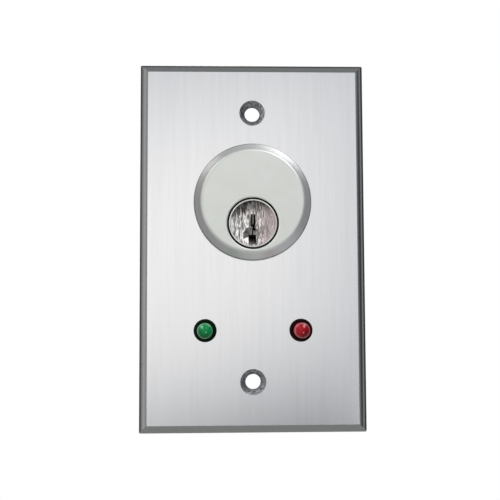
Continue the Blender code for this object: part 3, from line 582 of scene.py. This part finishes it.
# Paler tints painted on the lens's skirt ledge as a highlight.
LENS_RIM_PAINTED_HIGHLIGHT = {
    "green": moulded("green_lens_rim_painted_highlight", (0.12, 0.40, 0.19), 0.22, coat=0.3),
    "red": moulded("red_lens_rim_painted_highlight", (0.55, 0.14, 0.15), 0.22, coat=0.3),
}


# Wall plate


def paint_faces(obj, look, chosen):
    """Gives a second material to the faces that chosen(face) picks."""
    obj.data.materials.append(look)
    index = len(obj.data.materials) - 1
    for face in obj.data.polygons:
        if chosen(face):
            face.material_index = index


def flatten(obj):
    """Shades the faces parallel to the wall as truly flat, whatever their neighbours do."""
    for face in obj.data.polygons:
        if abs(face.normal.y) > 0.9999:
            face.use_smooth = False


def rounded_loop(bm, inset, depth, radius, corner):
    """A loop of vertices round the plate, this far in from its sides, with rounded corners."""
    loop = []
    for quarter, (side_x, side_z) in enumerate(((1, 1), (-1, 1), (-1, -1), (1, -1))):
        centre = (side_x * (corner.x - inset - radius), side_z * (corner.z - inset - radius))
        for x, z in arc(centre, radius, 90 * quarter, 90 * quarter + 90, 3):
            loop.append(bm.verts.new((x, depth, z)))
    return loop


def faceplate():
    """The plate: slightly crowned bevels, softened edges and corners, and lipped holes."""
    low, high, _ = box_of("faceplate")
    front = low.y
    # Each level is (how far in from the sides, y, corner radius), from the back to the front.
    levels = [
        (0.10 * MM, 0, 0.30 * MM),
        (0, -0.10 * MM, 0.40 * MM),
        (0, -1.20 * MM, 0.40 * MM),
        (0.05 * MM, -1.30 * MM, 0.38 * MM),
        (0.70 * MM, -1.91 * MM, 0.30 * MM),
        (1.50 * MM, -2.53 * MM, 0.20 * MM),
        (2.44 * MM, front + 0.022 * MM, 0.10 * MM),
        (2.46 * MM, front, 0.10 * MM),
    ]

    def build(bm):
        loops = [rounded_loop(bm, inset, depth, radius, high) for inset, depth, radius in levels]
        for back, fore in zip(loops, loops[1:]):
            for index in range(len(back)):
                after = (index + 1) % len(back)
                bm.faces.new((back[index], back[after], fore[after], fore[index]))
        bm.faces.new(loops[0])
        bm.faces.new(loops[-1])
        bmesh.ops.recalc_face_normals(bm, faces=bm.faces)

    plate = new_object("wall_plate", mesh_from("wall_plate", build))
    before = -9 * MM
    behind = 9 * MM
    lamp_hole = 6.35 * MM
    screw_z = 41.67 * MM
    z = box_of("lock_ring")[2].z
    cutters = [rod("hole", (0, before, z), (0, behind, z), CYLINDER_HOLE, FINE)]
    for colour in ("green", "red"):
        x, _, z = box_of(f"{colour}_lamp")[2]
        cutters.append(rod("hole", (x, before, z), (x, behind, z), lamp_hole, ROUND))
    for z in (-screw_z, screw_z):
        cutters.append(countersink(z, -front))
    cut(plate, *cutters)
    stand_for(plate, PLATE, "brushed_aluminium", "frame", "faceplate", angle=30)
    flatten(plate)
    facing = math.cos(math.radians(10))
    paint_faces(plate, EDGE, lambda side: side.normal.y > -facing and near_edge(side.center, high))
    paint_faces(plate, BORE, lambda side: abs(side.normal.y) < facing and not near_edge(side.center, high))


def near_edge(point, high):
    """Whether a point lies in the band of the bevels."""
    band = 3.0 * MM
    return high.x - abs(point.x) < band or high.z - abs(point.z) < band


def countersink(z, thick):
    """A drilled hole with an 82 degree mouth and a slightly broken lip."""
    slope = math.tan(math.radians(41))
    over = 2 * MM
    mouth = 3.95 * MM
    hole = 2.35 * MM
    top = thick + over
    lip = 0.06 * MM
    profile = [
        (0, top),
        (mouth + over, top),
        (mouth + lip, thick + 0.01 * MM),
        (mouth - lip, thick - lip),
        (hole, thick - (mouth - hole) / slope),
        (hole, -over),
        (0, -over),
    ]
    return turned("countersink", profile, (0, 0, z), sides=ROUND)


# Mortise cylinder


def fillet(corner, before, after, radius, steps):
    """Points that round a corner of a profile."""
    corner = Vector(corner)
    into = (corner - Vector(before)).normalized()
    out = (Vector(after) - corner).normalized()
    half = into.angle(out) / 2
    reach = radius * math.tan(half)
    start = corner - into * reach
    end = corner + out * reach
    points = []
    for step in range(steps + 1):
        share = step / steps
        low = start.lerp(corner, share)
        points.append(tuple(low.lerp(corner.lerp(end, share), share)))
    return points


def cylinder_shell():
    """The bevelled head and the threaded body, bored and slotted like the CAD part."""
    low, high, _ = box_of("cylinder_shell")
    plug = box_of("cylinder_plug")[2]
    cover_low, cover_high, _ = box_of("chamber_cover")
    base_radius = (high.x - low.x) / 2
    face_radius = 15.9 * MM
    centre_z = (high.z + low.z) / 2
    face = -low.y
    plate_front = -box_of("faceplate")[0].y
    seat = plate_front + 0.08 * MM
    wall = seat + 0.65 * MM
    rounded = fillet((face_radius, face), (0, face), (base_radius, wall), 1.3 * MM, 8)
    foot = fillet((base_radius, wall), (face_radius, face), (base_radius, seat), 0.35 * MM, 4)
    crest = 14.55 * MM
    root = 14.15 * MM
    pitch = 0.79 * MM
    profile = [(0, face)] + rounded + foot + [(base_radius, seat), (crest, seat), (crest, -0.2 * MM)]
    y = 1.2 * MM
    while y < high.y - 1.4 * MM:
        profile += [(root, -y), (crest, -y - pitch * 0.42), (crest, -y - pitch * 0.58)]
        y += pitch
    profile += [(root, -y), (root, -high.y + 0.4 * MM), (root - 0.4 * MM, -high.y), (0, -high.y)]
    shell = turned("cylinder_housing", profile, (0, 0, centre_z), sides=FINE)
    lip = 0.5 * MM
    bore_radius = 6.47 * MM
    head_bore = 7.85 * MM
    step_depth = face - 2.9 * MM
    bore_profile = [
        (0, face + MM),
        (head_bore + lip, face + MM),
        *fillet((head_bore, face), (head_bore + MM, face), (head_bore, face - MM), lip, 8),
        (head_bore, step_depth),
        (bore_radius, step_depth),
        (bore_radius, -high.y - 2 * MM),
        (0, -high.y - 2 * MM),
    ]
    bore = turned("bore", bore_profile, (0, 0, plug.z), sides=FINE)
    gap = 0.08 * MM
    slot = block(
        "slot",
        (cover_low.x - gap, cover_low.y - gap, cover_low.z - gap),
        (cover_high.x + gap, cover_high.y + gap, cover_high.z + 5 * MM),
    )
    chambers = []
    for index in range(1, 6):
        pin = box_of(f"driver_pin_{index}")[2]
        chambers.append(rod("chamber", (0, pin.y, plug.z), (0, pin.y, cover_high.z), PIN_CHAMBER, SMALL))
    cut(shell, bore, slot, *chambers)
    stand_for(shell, HEAD, "satin_zinc", "frame", "cylinder_shell")

    def in_step(side):
        """The step and the wall round the plug, but not the shell's back end."""
        out = math.hypot(side.center.x, side.center.z - plug.z)
        depth = side.center.y + face
        return out < head_bore + 0.12 * MM and 0.25 * MM < depth < 3.2 * MM

    # Painted shade on the step and the wall round the plug.
    paint_faces(shell, PAINTED_RECESS_SHADE, in_step)
    flatten(shell)


def keyway_outline(plug_z):
    """The keyway across the plug: two slots with a ward between, a neck, and a wide slot below."""
    wide_left, slot_left, ward_left = [value * MM for value in (-1.4, -0.7, -0.35)]
    neck_right, ward_right, slot_right, wide_right = [value * MM for value in (0.05, 0.3, 0.75, 0.95)]
    levels = [plug_z + value * MM for value in (2.7, -0.5, -1.3, -2.3, -3.5, -6.4)]
    top, ward_foot, step, foot, shoulder, bottom = levels
    return [
        (slot_left, top),
        (ward_left, top),
        (ward_left, ward_foot),
        (ward_right, ward_foot),
        (ward_right, top),
        (slot_right, top),
        (slot_right, foot),
        (neck_right, foot),
        (neck_right, shoulder),
        (wide_right, shoulder),
        (wide_right, bottom),
        (wide_left, bottom),
        (wide_left, shoulder),
        (ward_left, shoulder),
        (ward_left, step),
        (slot_left, step),
    ]


def cylinder_plug():
    """The turning core: a bright rim round a worn, faintly crowned face with the keyway and scoop."""
    low, high, centre = box_of("cylinder_plug")
    head = 7.375 * MM
    body = 6.35 * MM
    face = -low.y
    back = face - 2.6 * MM
    rim = 0.42 * MM
    inner = head - rim
    crown = [(inner * step / 5, face - 0.03 * MM - 0.14 * MM * (step / 5) ** 2) for step in range(6)]
    edge = fillet((head, face), (inner, face), (head, back), 0.22 * MM, 5)
    profile = [
        *crown,
        (inner + 0.04 * MM, face),
        *edge,
        (head, back),
        (body, back),
        (body, -high.y),
        (0, -high.y),
    ]
    plug = turned("plug", profile, (0, 0, centre.z), sides=FINE)
    key_end = box_of("key_pin_5")[1].y + MM
    keyway = outline("keyway", keyway_outline(centre.z), low.y - MM, key_end)
    radius = 2.9 * MM
    depth = 1.5 * MM
    over = MM
    scoop_profile = [
        (0, over),
        (radius * (1 + over / depth), over),
        (radius, 0),
        (0.35 * MM, -0.88 * depth),
        (0, -0.95 * depth),
    ]
    scoop_x = -0.5 * MM
    scoop_z = centre.z - 3.9 * MM
    scoop = turned("scoop", scoop_profile, (scoop_x, low.y, scoop_z), sides=9)
    holes = []
    low_z = centre.z - MM
    high_z = centre.z + 8 * MM
    for index in range(1, 6):
        y = box_of(f"key_pin_{index}")[2].y
        holes.append(rod("hole", (0, y, low_z), (0, y, high_z), PIN_CHAMBER, SMALL))
    tapped = 2.3 * MM
    for number in (1, 2):
        screw = box_of(f"cam_screw_{number}")[2]
        holes.append(rod("hole", (screw.x, 21 * MM, screw.z), (screw.x, 30 * MM, screw.z), tapped, SMALL))
    cut(plug, keyway, scoop, *holes)
    soften(plug, 0.05 * MM, segments=2, angle=50)
    settle(plug)
    stand_for(plug, NICKEL, "nickel", "plug", "cylinder_plug")

    def on_rim(side):
        out = math.hypot(side.center.x, side.center.z - centre.z)
        return out > inner - 0.02 * MM and side.center.y < low.y + 0.5 * MM

    floor = 0.22 * MM

    def in_scoop(side):
        out = math.hypot(side.center.x - scoop_x, side.center.z - scoop_z)
        return out < radius and side.center.y > low.y + floor and side.normal.y < -0.5

    # Painted highlight: the scoop's lower left facets are painted near white.
    def painted_highlight_facets(side):
        turn = math.degrees(math.atan2(side.center.z - scoop_z, side.center.x - scoop_x)) % 360
        return in_scoop(side) and 160 < turn < 250

    def on_ward(side):
        """The land between the keyway's two slots."""
        across = -0.36 * MM < side.center.x < 0.31 * MM
        return across and -1.35 * MM < side.center.z - centre.z < 2.7 * MM and side.normal.y < -0.5

    # Painted shade: the ward between the keyway's slots is painted dark.
    paint_faces(plug, WARD, on_ward)
    paint_faces(plug, RIM, on_rim)
    # Painted shade: the scoop is painted darker nickel.
    paint_faces(plug, SCOOP, in_scoop)
    paint_faces(plug, PAINTED_SCOOP_HIGHLIGHT, painted_highlight_facets)
    for face_of_scoop in filter(in_scoop, plug.data.polygons):
        face_of_scoop.use_smooth = False


def lock_ring():
    """The ring nut, its edges rounded, with six spanner slots."""
    low, high, centre = box_of("lock_ring")
    outer = (high.x - low.x) / 2
    inner = 14.75 * MM
    edge = 0.5 * MM
    profile = [
        (outer - edge, -low.y),
        *fillet((outer, -low.y), (outer - edge, -low.y), (outer, -high.y), 0.4 * MM, 4),
        *fillet((outer, -high.y), (outer, -low.y), (inner, -high.y), 0.4 * MM, 4),
        (inner + 0.4 * MM, -high.y),
        (inner, -high.y + 0.4 * MM),
        (inner, -low.y),
        (outer - edge, -low.y),
    ]
    ring = turned("ring_nut", profile, (0, 0, centre.z), sides=FINE)
    slots = []
    for index in range(6):
        slot = block("slot", (-1.6 * MM, high.y - 2.2 * MM, 16 * MM), (1.6 * MM, high.y + MM, 20 * MM))
        around = Matrix.Rotation(math.radians(30 + 60 * index), 4, "Y")
        slot.matrix_world = Matrix.Translation((0, 0, centre.z)) @ around @ slot.matrix_world
        slots.append(slot)
    cut(ring, *slots)
    soften(ring, 0.12 * MM, angle=40)
    stand_for(ring, BRASS, "brass", "frame", "lock_ring")


# Lamps


def lamp(colour):
    """A domed lens with a real skirt ledge painted paler as a highlight, its stepped holder, retainer and
    two leads.
    """
    low, high, centre = box_of(f"{colour}_lamp")
    holder_low, holder_high, _ = box_of(f"{colour}_lamp_holder")
    where = (centre.x, 0, centre.z)
    tip = -low.y
    radius = 2.35 * MM
    dome = radius - 0.24 * MM
    shoulder = tip - dome * 0.96
    curve = [(r, shoulder + (tip - shoulder) * h / dome) for h, r in arc((0, 0), dome, 90, 0, 16)]
    flange = 2.85 * MM
    back = -high.y
    profile = [
        *[(abs(r), h) for r, h in curve],
        (dome, shoulder - 0.03 * MM),
        (radius - 0.08 * MM, shoulder - 0.06 * MM),
        (radius, shoulder - 0.16 * MM),
        (radius, back + MM),
        (flange, back + MM),
        (flange, back),
        (0, back),
    ]
    bulb = turned(f"{colour}_bulb", profile, where, sides=ROUND)
    stand_for(bulb, LENS[colour], f"{colour}_lens", "frame", f"{colour}_lamp", angle=60)
    skirt = -shoulder
    # Painted highlight: the skirt ledge gets the paler tint.
    paint_faces(bulb, LENS_RIM_PAINTED_HIGHLIGHT[colour], lambda side: skirt - 0.01 * MM < side.center.y < skirt + 0.17 * MM)
    front = -holder_low.y
    seat = -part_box("faceplate")[0].y + 0.05 * MM
    outer = 3.525 * MM
    sleeve = 3.055 * MM
    inner = 2.46 * MM
    holder_back = -holder_high.y
    holder_profile = [
        (inner + 0.12 * MM, front - 0.14 * MM),
        (inner + 0.30 * MM, front - 0.14 * MM),
        (inner + 0.36 * MM, front),
        *fillet((outer, front), (inner, front), (outer, seat), 0.32 * MM, 6),
        (outer, seat),
        (sleeve, seat),
        (sleeve, holder_back),
        (inner, holder_back),
        (inner, front - 0.26 * MM),
        (inner + 0.12 * MM, front - 0.14 * MM),
    ]
    holder = turned(f"{colour}_bezel", holder_profile, where, sides=ROUND)
    stand_for(holder, BEZEL[colour], "black_plastic", "frame", f"{colour}_lamp_holder")
    ring_low, ring_high, _ = box_of(f"{colour}_lamp_retainer")
    ring_radius = (ring_high.x - ring_low.x) / 2
    bore = 3.2 * MM
    ring_profile = [
        (ring_radius - 0.4 * MM, -ring_low.y),
        *fillet((ring_radius, -ring_low.y), (0, -ring_low.y), (ring_radius, -ring_high.y), 0.35 * MM, 4),
        *fillet((ring_radius, -ring_high.y), (ring_radius, -ring_low.y), (0, -ring_high.y), 0.35 * MM, 4),
        (bore + 0.3 * MM, -ring_high.y),
        (bore, -ring_high.y + 0.3 * MM),
        (bore, -ring_low.y),
        (ring_radius - 0.4 * MM, -ring_low.y),
    ]
    retainer = turned(f"{colour}_retainer", ring_profile, where, sides=ROUND)
    stand_for(retainer, BLACK, "black_plastic", "frame", f"{colour}_lamp_retainer")
    for lead in ("anode", "cathode"):
        lead_low, lead_high, middle = box_of(f"{colour}_{lead}")
        wire = rod(
            f"{colour}_{lead}_lead",
            (middle.x, lead_low.y, middle.z),
            (middle.x, lead_high.y, middle.z),
            lead_high.x - lead_low.x,
            SMALL,
        )
        settle(wire)
        soften(wire, 0.08 * MM, segments=3)
        stand_for(wire, TINNED, "tinned_copper", "frame", f"{colour}_{lead}")


# Cam, bracket and fasteners


def screw(node, body, thread, seat):
    """A round-headed slotted screw with a ringed thread."""
    low, high, centre = box_of(node)
    head = (high.x - low.x) / 2
    thick = high.y - seat
    crest = thread / 2
    root = crest - 0.16 * MM
    pitch = 0.5 * MM
    crown = arc((0, 0), 1.0, 90, 0, 8)
    profile = [(abs(r) * head, thick * (0.45 + 0.55 * h)) for r, h in crown]
    profile += [(head, 0.05 * MM), (head - 0.05 * MM, 0), (crest, 0)]
    depth = 0.4 * MM
    length = seat - low.y
    while depth < length - 0.6 * MM:
        profile += [(crest, -depth), (root, -depth - pitch * 0.4), (root, -depth - pitch * 0.6)]
        depth += pitch
    profile += [(crest, -depth), (root, -length), (0, -length)]
    made = turned(node + "_fine", profile, (centre.x, seat, centre.z), TOWARDS_BACK, sides=48)
    half = head * 0.18
    slot = block(
        "slot",
        (centre.x - 2 * head, seat + thick * 0.45, centre.z - half),
        (centre.x + 2 * head, high.y + MM, centre.z + half),
    )
    cut(made, slot)
    soften(made, 0.04 * MM, angle=45)
    stand_for(made, ZINC, "zinc_plated", body, node)


def hex_nut(node, thread):
    """A hexagon nut with chamfered corners."""
    low, high, centre = box_of(node)
    across = (high.z - low.z) / 2
    nut = rod(node + "_fine", (centre.x, low.y, centre.z), (centre.x, high.y, centre.z), 2 * across, 6)
    settle(nut)
    trim = 0.28 * MM
    profile = [
        (0, -low.y),
        (across - trim, -low.y),
        (across + 0.02 * MM, -low.y - trim),
        (across + 0.02 * MM, -high.y + trim),
        (across - trim, -high.y),
        (0, -high.y),
    ]
    barrel = turned("barrel", profile, (centre.x, 0, centre.z), sides=48)
    cut(nut, barrel, operation="INTERSECT")
    hole = rod("hole", (centre.x, low.y - MM, centre.z), (centre.x, high.y + MM, centre.z), thread, SMALL)
    cut(nut, hole)
    stand_for(nut, ZINC, "zinc_plated", "frame", node, angle=20)


def roller():
    """The nylon roller, crowned, on its pin."""
    low, high, centre = box_of("lever_roller")
    radius = (high.x - low.x) / 2
    bore = 0.65 * MM
    profile = [
        (radius - 0.4 * MM, -low.y),
        *fillet((radius, -low.y), (0, -low.y), (radius, -high.y), 0.35 * MM, 5),
        *fillet((radius, -high.y), (radius, -low.y), (0, -high.y), 0.35 * MM, 5),
        (bore + 0.9 * MM, -high.y),
        (bore + 0.8 * MM, -high.y + 0.2 * MM),
        (bore, -high.y + 0.2 * MM),
        (bore, -low.y - 0.2 * MM),
        (bore + 0.8 * MM, -low.y - 0.2 * MM),
        (bore + 0.9 * MM, -low.y),
        (radius - 0.4 * MM, -low.y),
    ]
    wheel = turned("roller", profile, (centre.x, 0, centre.z), sides=48)
    stand_for(wheel, NYLON, "white_nylon", "roller", "lever_roller")


def bracket():
    """The folded zinc-plated strip with smooth bends and broken edges."""
    low, high, _ = box_of("switch_bracket")
    sheet = 1.5 * MM
    bend = 2.0 * MM
    shelf_z = -10.8 * MM
    flange = high.y - sheet
    path = [(low.y, high.z), (low.y, shelf_z + bend)]
    path += arc((low.y + bend, shelf_z + bend), bend, 180, 270, 10)[1:]
    path += arc((flange - bend, shelf_z - bend), bend, 90, 0, 10)
    path += [(flange, low.z)]

    def build(bm):
        rails = [[bm.verts.new((x, y, z)) for y, z in path] for x in (low.x, high.x)]
        for index in range(len(path) - 1):
            left = rails[0][index : index + 2]
            right = rails[1][index : index + 2]
            bm.faces.new((left[0], left[1], right[1], right[0]))

    made = new_object("bracket", mesh_from("bracket", build))
    solid = made.modifiers.new("sheet", "SOLIDIFY")
    solid.thickness = sheet
    solid.use_even_offset = True
    settle(made)
    soften(made, 0.12 * MM, segments=2, angle=60)
    settle(made)
    screw_hole = 3.3 * MM
    z = box_of("lock_ring")[2].z
    cutters = [rod("hole", (0, -MM, z), (0, 5 * MM, z), CYLINDER_HOLE, FINE)]
    for number in (1, 2):
        x, _, z = box_of(f"switch_screw_{number}")[2]
        cutters.append(rod("hole", (x, 15 * MM, z), (x, 30 * MM, z), screw_hole, SMALL))
    for side in (-1, 1):
        corner = block(
            "corner",
            (side * 26 * MM - 10 * MM, -MM, high.z - 8 * MM),
            (side * 26 * MM + 10 * MM, 5 * MM, high.z + 8 * MM),
        )
        corner.matrix_world = corner.matrix_world @ Matrix.Rotation(math.radians(45 * side), 4, "Y")
        cutters.append(corner)
    cut(made, *cutters)
    stand_for(made, ZINC, "zinc_plated", "frame", "switch_bracket")


def dress(node, look, bevel=0.0):
    """Keeps a CAD node, with a finished material and, where it helps, broken edges."""
    obj = NODES[node]
    obj.data.materials.clear()
    obj.data.materials.append(look)
    if bevel:
        soften(obj, bevel, segments=2, angle=35)


# Studio


def studio():
    """Plain pale floor, a soft room, three lights in front of the plate and one behind it."""
    low, _ = CAD_BOX

    def build(bm):
        bmesh.ops.create_circle(bm, cap_ends=True, segments=ROUND, radius=400 * MM)

    floor = new_object("floor", mesh_from("floor", build), Matrix.Translation((0, 0, low.z - 130 * MM)))
    pale = Look("pale_floor", (0.70, 0.71, 0.71), 0.0, 0.9)
    floor.data.materials.append(pale.made)
    room()
    soft_light("upper_right", (200, -290, 350), 260, 0.55, (0.98, 0.98, 1.0))
    soft_light("upper_left", (-260, -220, 290), 160, 0.18, (1.0, 1.0, 0.98))
    soft_light("catch", (150, -370, -105), 25, 0.03, (1.0, 1.0, 1.0))
    soft_light("behind", (-150, 420, 260), 300, 1.0, (1.0, 1.0, 1.0))


def soft_light(name, place, side, power, colour):
    """A square soft light that faces the plate; its place and side are in millimetres."""
    data = bpy.data.lights.new(name, "AREA")
    data.shape = "SQUARE"
    data.size = side * MM
    data.energy = power
    data.color = colour
    light = new_object(name, data)
    light.location = Vector(place) * MM
    light.rotation_euler = (-light.location).to_track_quat("-Z", "Y").to_euler()


def room():
    """A soft dome, brightest ahead of the plate and dim on its right, plain white where it is seen."""
    world = bpy.data.worlds.new("room")
    world.use_nodes = True
    bpy.context.scene.world = world
    sky = Nodes(world.node_tree)
    split = sky.node("ShaderNodeSeparateXYZ")
    sky.feed(split.inputs, [sky.node("ShaderNodeTexCoord").outputs["Generated"]])
    x, y, z = split.outputs
    front = sky.math("MULTIPLY", y, -1.0)
    turn = sky.spread(sky.math("ARCTAN2", x, front), -math.pi, math.pi)

    def at(degrees):
        return 0.5 + degrees / 360

    around = sky.ramp(
        turn,
        (0.0, 0.30),
        (at(-120), 0.14),
        (at(-93), 0.13),
        (at(-82), 0.42),
        (at(-70), 0.86),
        (at(-48), 0.66),
        (at(-20), 0.98),
        (at(-5), 1.02),
        (at(2), 0.985),
        (at(6), 0.93),
        (at(9), 0.82),
        (at(13), 0.60),
        (at(26), 0.34),
        (at(48), 0.16),
        (at(73), 0.02),
        (at(79), 0.12),
        (at(83), 0.62),
        (at(86), 0.42),
        (at(91), 0.05),
        (at(105), 0.10),
        (1.0, 0.30),
    )
    tilted = sky.math("SUBTRACT", z, sky.math("MULTIPLY", x, 0.21))
    height = sky.spread(tilted, -0.5, 0.5)
    lift = sky.ramp(
        height,
        (0.0, 0.18),
        (0.30, 0.16),
        (0.330, 0.12),
        (0.350, 0.30),
        (0.370, 0.59),
        (0.395, 0.79),
        (0.42, 0.89),
        (0.448, 0.95),
        (0.51, 0.99),
        (0.60, 1.01),
        (0.67, 1.02),
        (0.72, 0.96),
        (0.77, 0.78),
        (0.83, 0.60),
        (1.0, 0.40),
    )
    ahead = sky.spread(front, 0.70, 0.92, interpolation="SMOOTHSTEP")
    shaped = sky.math("MULTIPLY", around, sky.between(1.0, lift, ahead))
    overhead = sky.spread(z, 0.50, 0.85, interpolation="SMOOTHSTEP")
    pole = sky.between(0.14, 0.42, sky.spread(front, -0.22, 0.0))
    dome = sky.between(shaped, pole, overhead)
    seen = sky.node("ShaderNodeLightPath").outputs["Is Camera Ray"]
    cool = (0.875, 0.935, 1.0)
    pale = (0.965, 0.983, 1.0)
    warm = (1.0, 0.998, 0.985)
    tint = sky.ramp(dome, (0.30, cool), (0.85, pale), (1.0, warm))
    colour = sky.mix(tint, (1, 1, 1, 1), seen)
    strength = sky.between(dome, 1.0, seen)
    sky.feed(sky.tree.nodes["Background"].inputs, (colour, strength))


def camera():
    """Just below the middle of the plate and a little to its left, looking slightly up at it."""
    azimuth = math.radians(-1.90)
    elevation = math.radians(-4.02)
    roll = math.radians(-0.24)
    distance = 260 * MM
    target = Vector((-0.79, -1.3, -1.06)) * MM
    back = Vector(
        (
            math.sin(azimuth) * math.cos(elevation),
            -math.cos(azimuth) * math.cos(elevation),
            math.sin(elevation),
        )
    )
    data = bpy.data.cameras.new("camera")
    data.sensor_width = 36
    data.lens = 60.2
    data.clip_start = 0.01
    data.clip_end = 50
    made = new_object("camera", data)
    made.location = target + back * distance
    facing = (-back).to_track_quat("-Z", "Y").to_matrix().to_4x4()
    made.matrix_world = Matrix.Translation(made.location) @ facing @ Matrix.Rotation(roll, 4, "Z")
    bpy.context.scene.camera = made
    bpy.context.scene.view_settings.view_transform = "Standard"


camera()
studio()
faceplate()
cylinder_shell()
cylinder_plug()
lock_ring()
for lamp_colour in ("green", "red"):
    lamp(lamp_colour)
bracket()
cam_back = box_of("cam")[1].y + 0.05 * MM
cover_back = box_of("switch_cover")[1].y + 0.05 * MM
for number in (1, 2):
    screw(f"cam_screw_{number}", "plug", 2.1 * MM, cam_back)
    screw(f"switch_screw_{number}", "frame", 2.8 * MM, cover_back)
    hex_nut(f"switch_nut_{number}", 2.95 * MM)
roller()
for index in range(1, 6):
    dress(f"key_pin_{index}", BRASS)
    dress(f"driver_pin_{index}", NICKEL)
    dress(f"pin_spring_{index}", STEEL)
for node in ("common_terminal", "no_terminal", "nc_terminal"):
    dress(node, BRASS, 0.06 * MM)
dress("chamber_cover", BRASS)
dress("cam", ZINC, 0.15 * MM)
dress("switch_case", CASE, 0.12 * MM)
dress("switch_cover", CASE)
dress("switch_plunger", RED_BUTTON)
dress("contact_blade", SILVER)
dress("switch_lever", STEEL, 0.06 * MM)
dress("lever_pin", STEEL)
dress("roller_pin", STEEL)
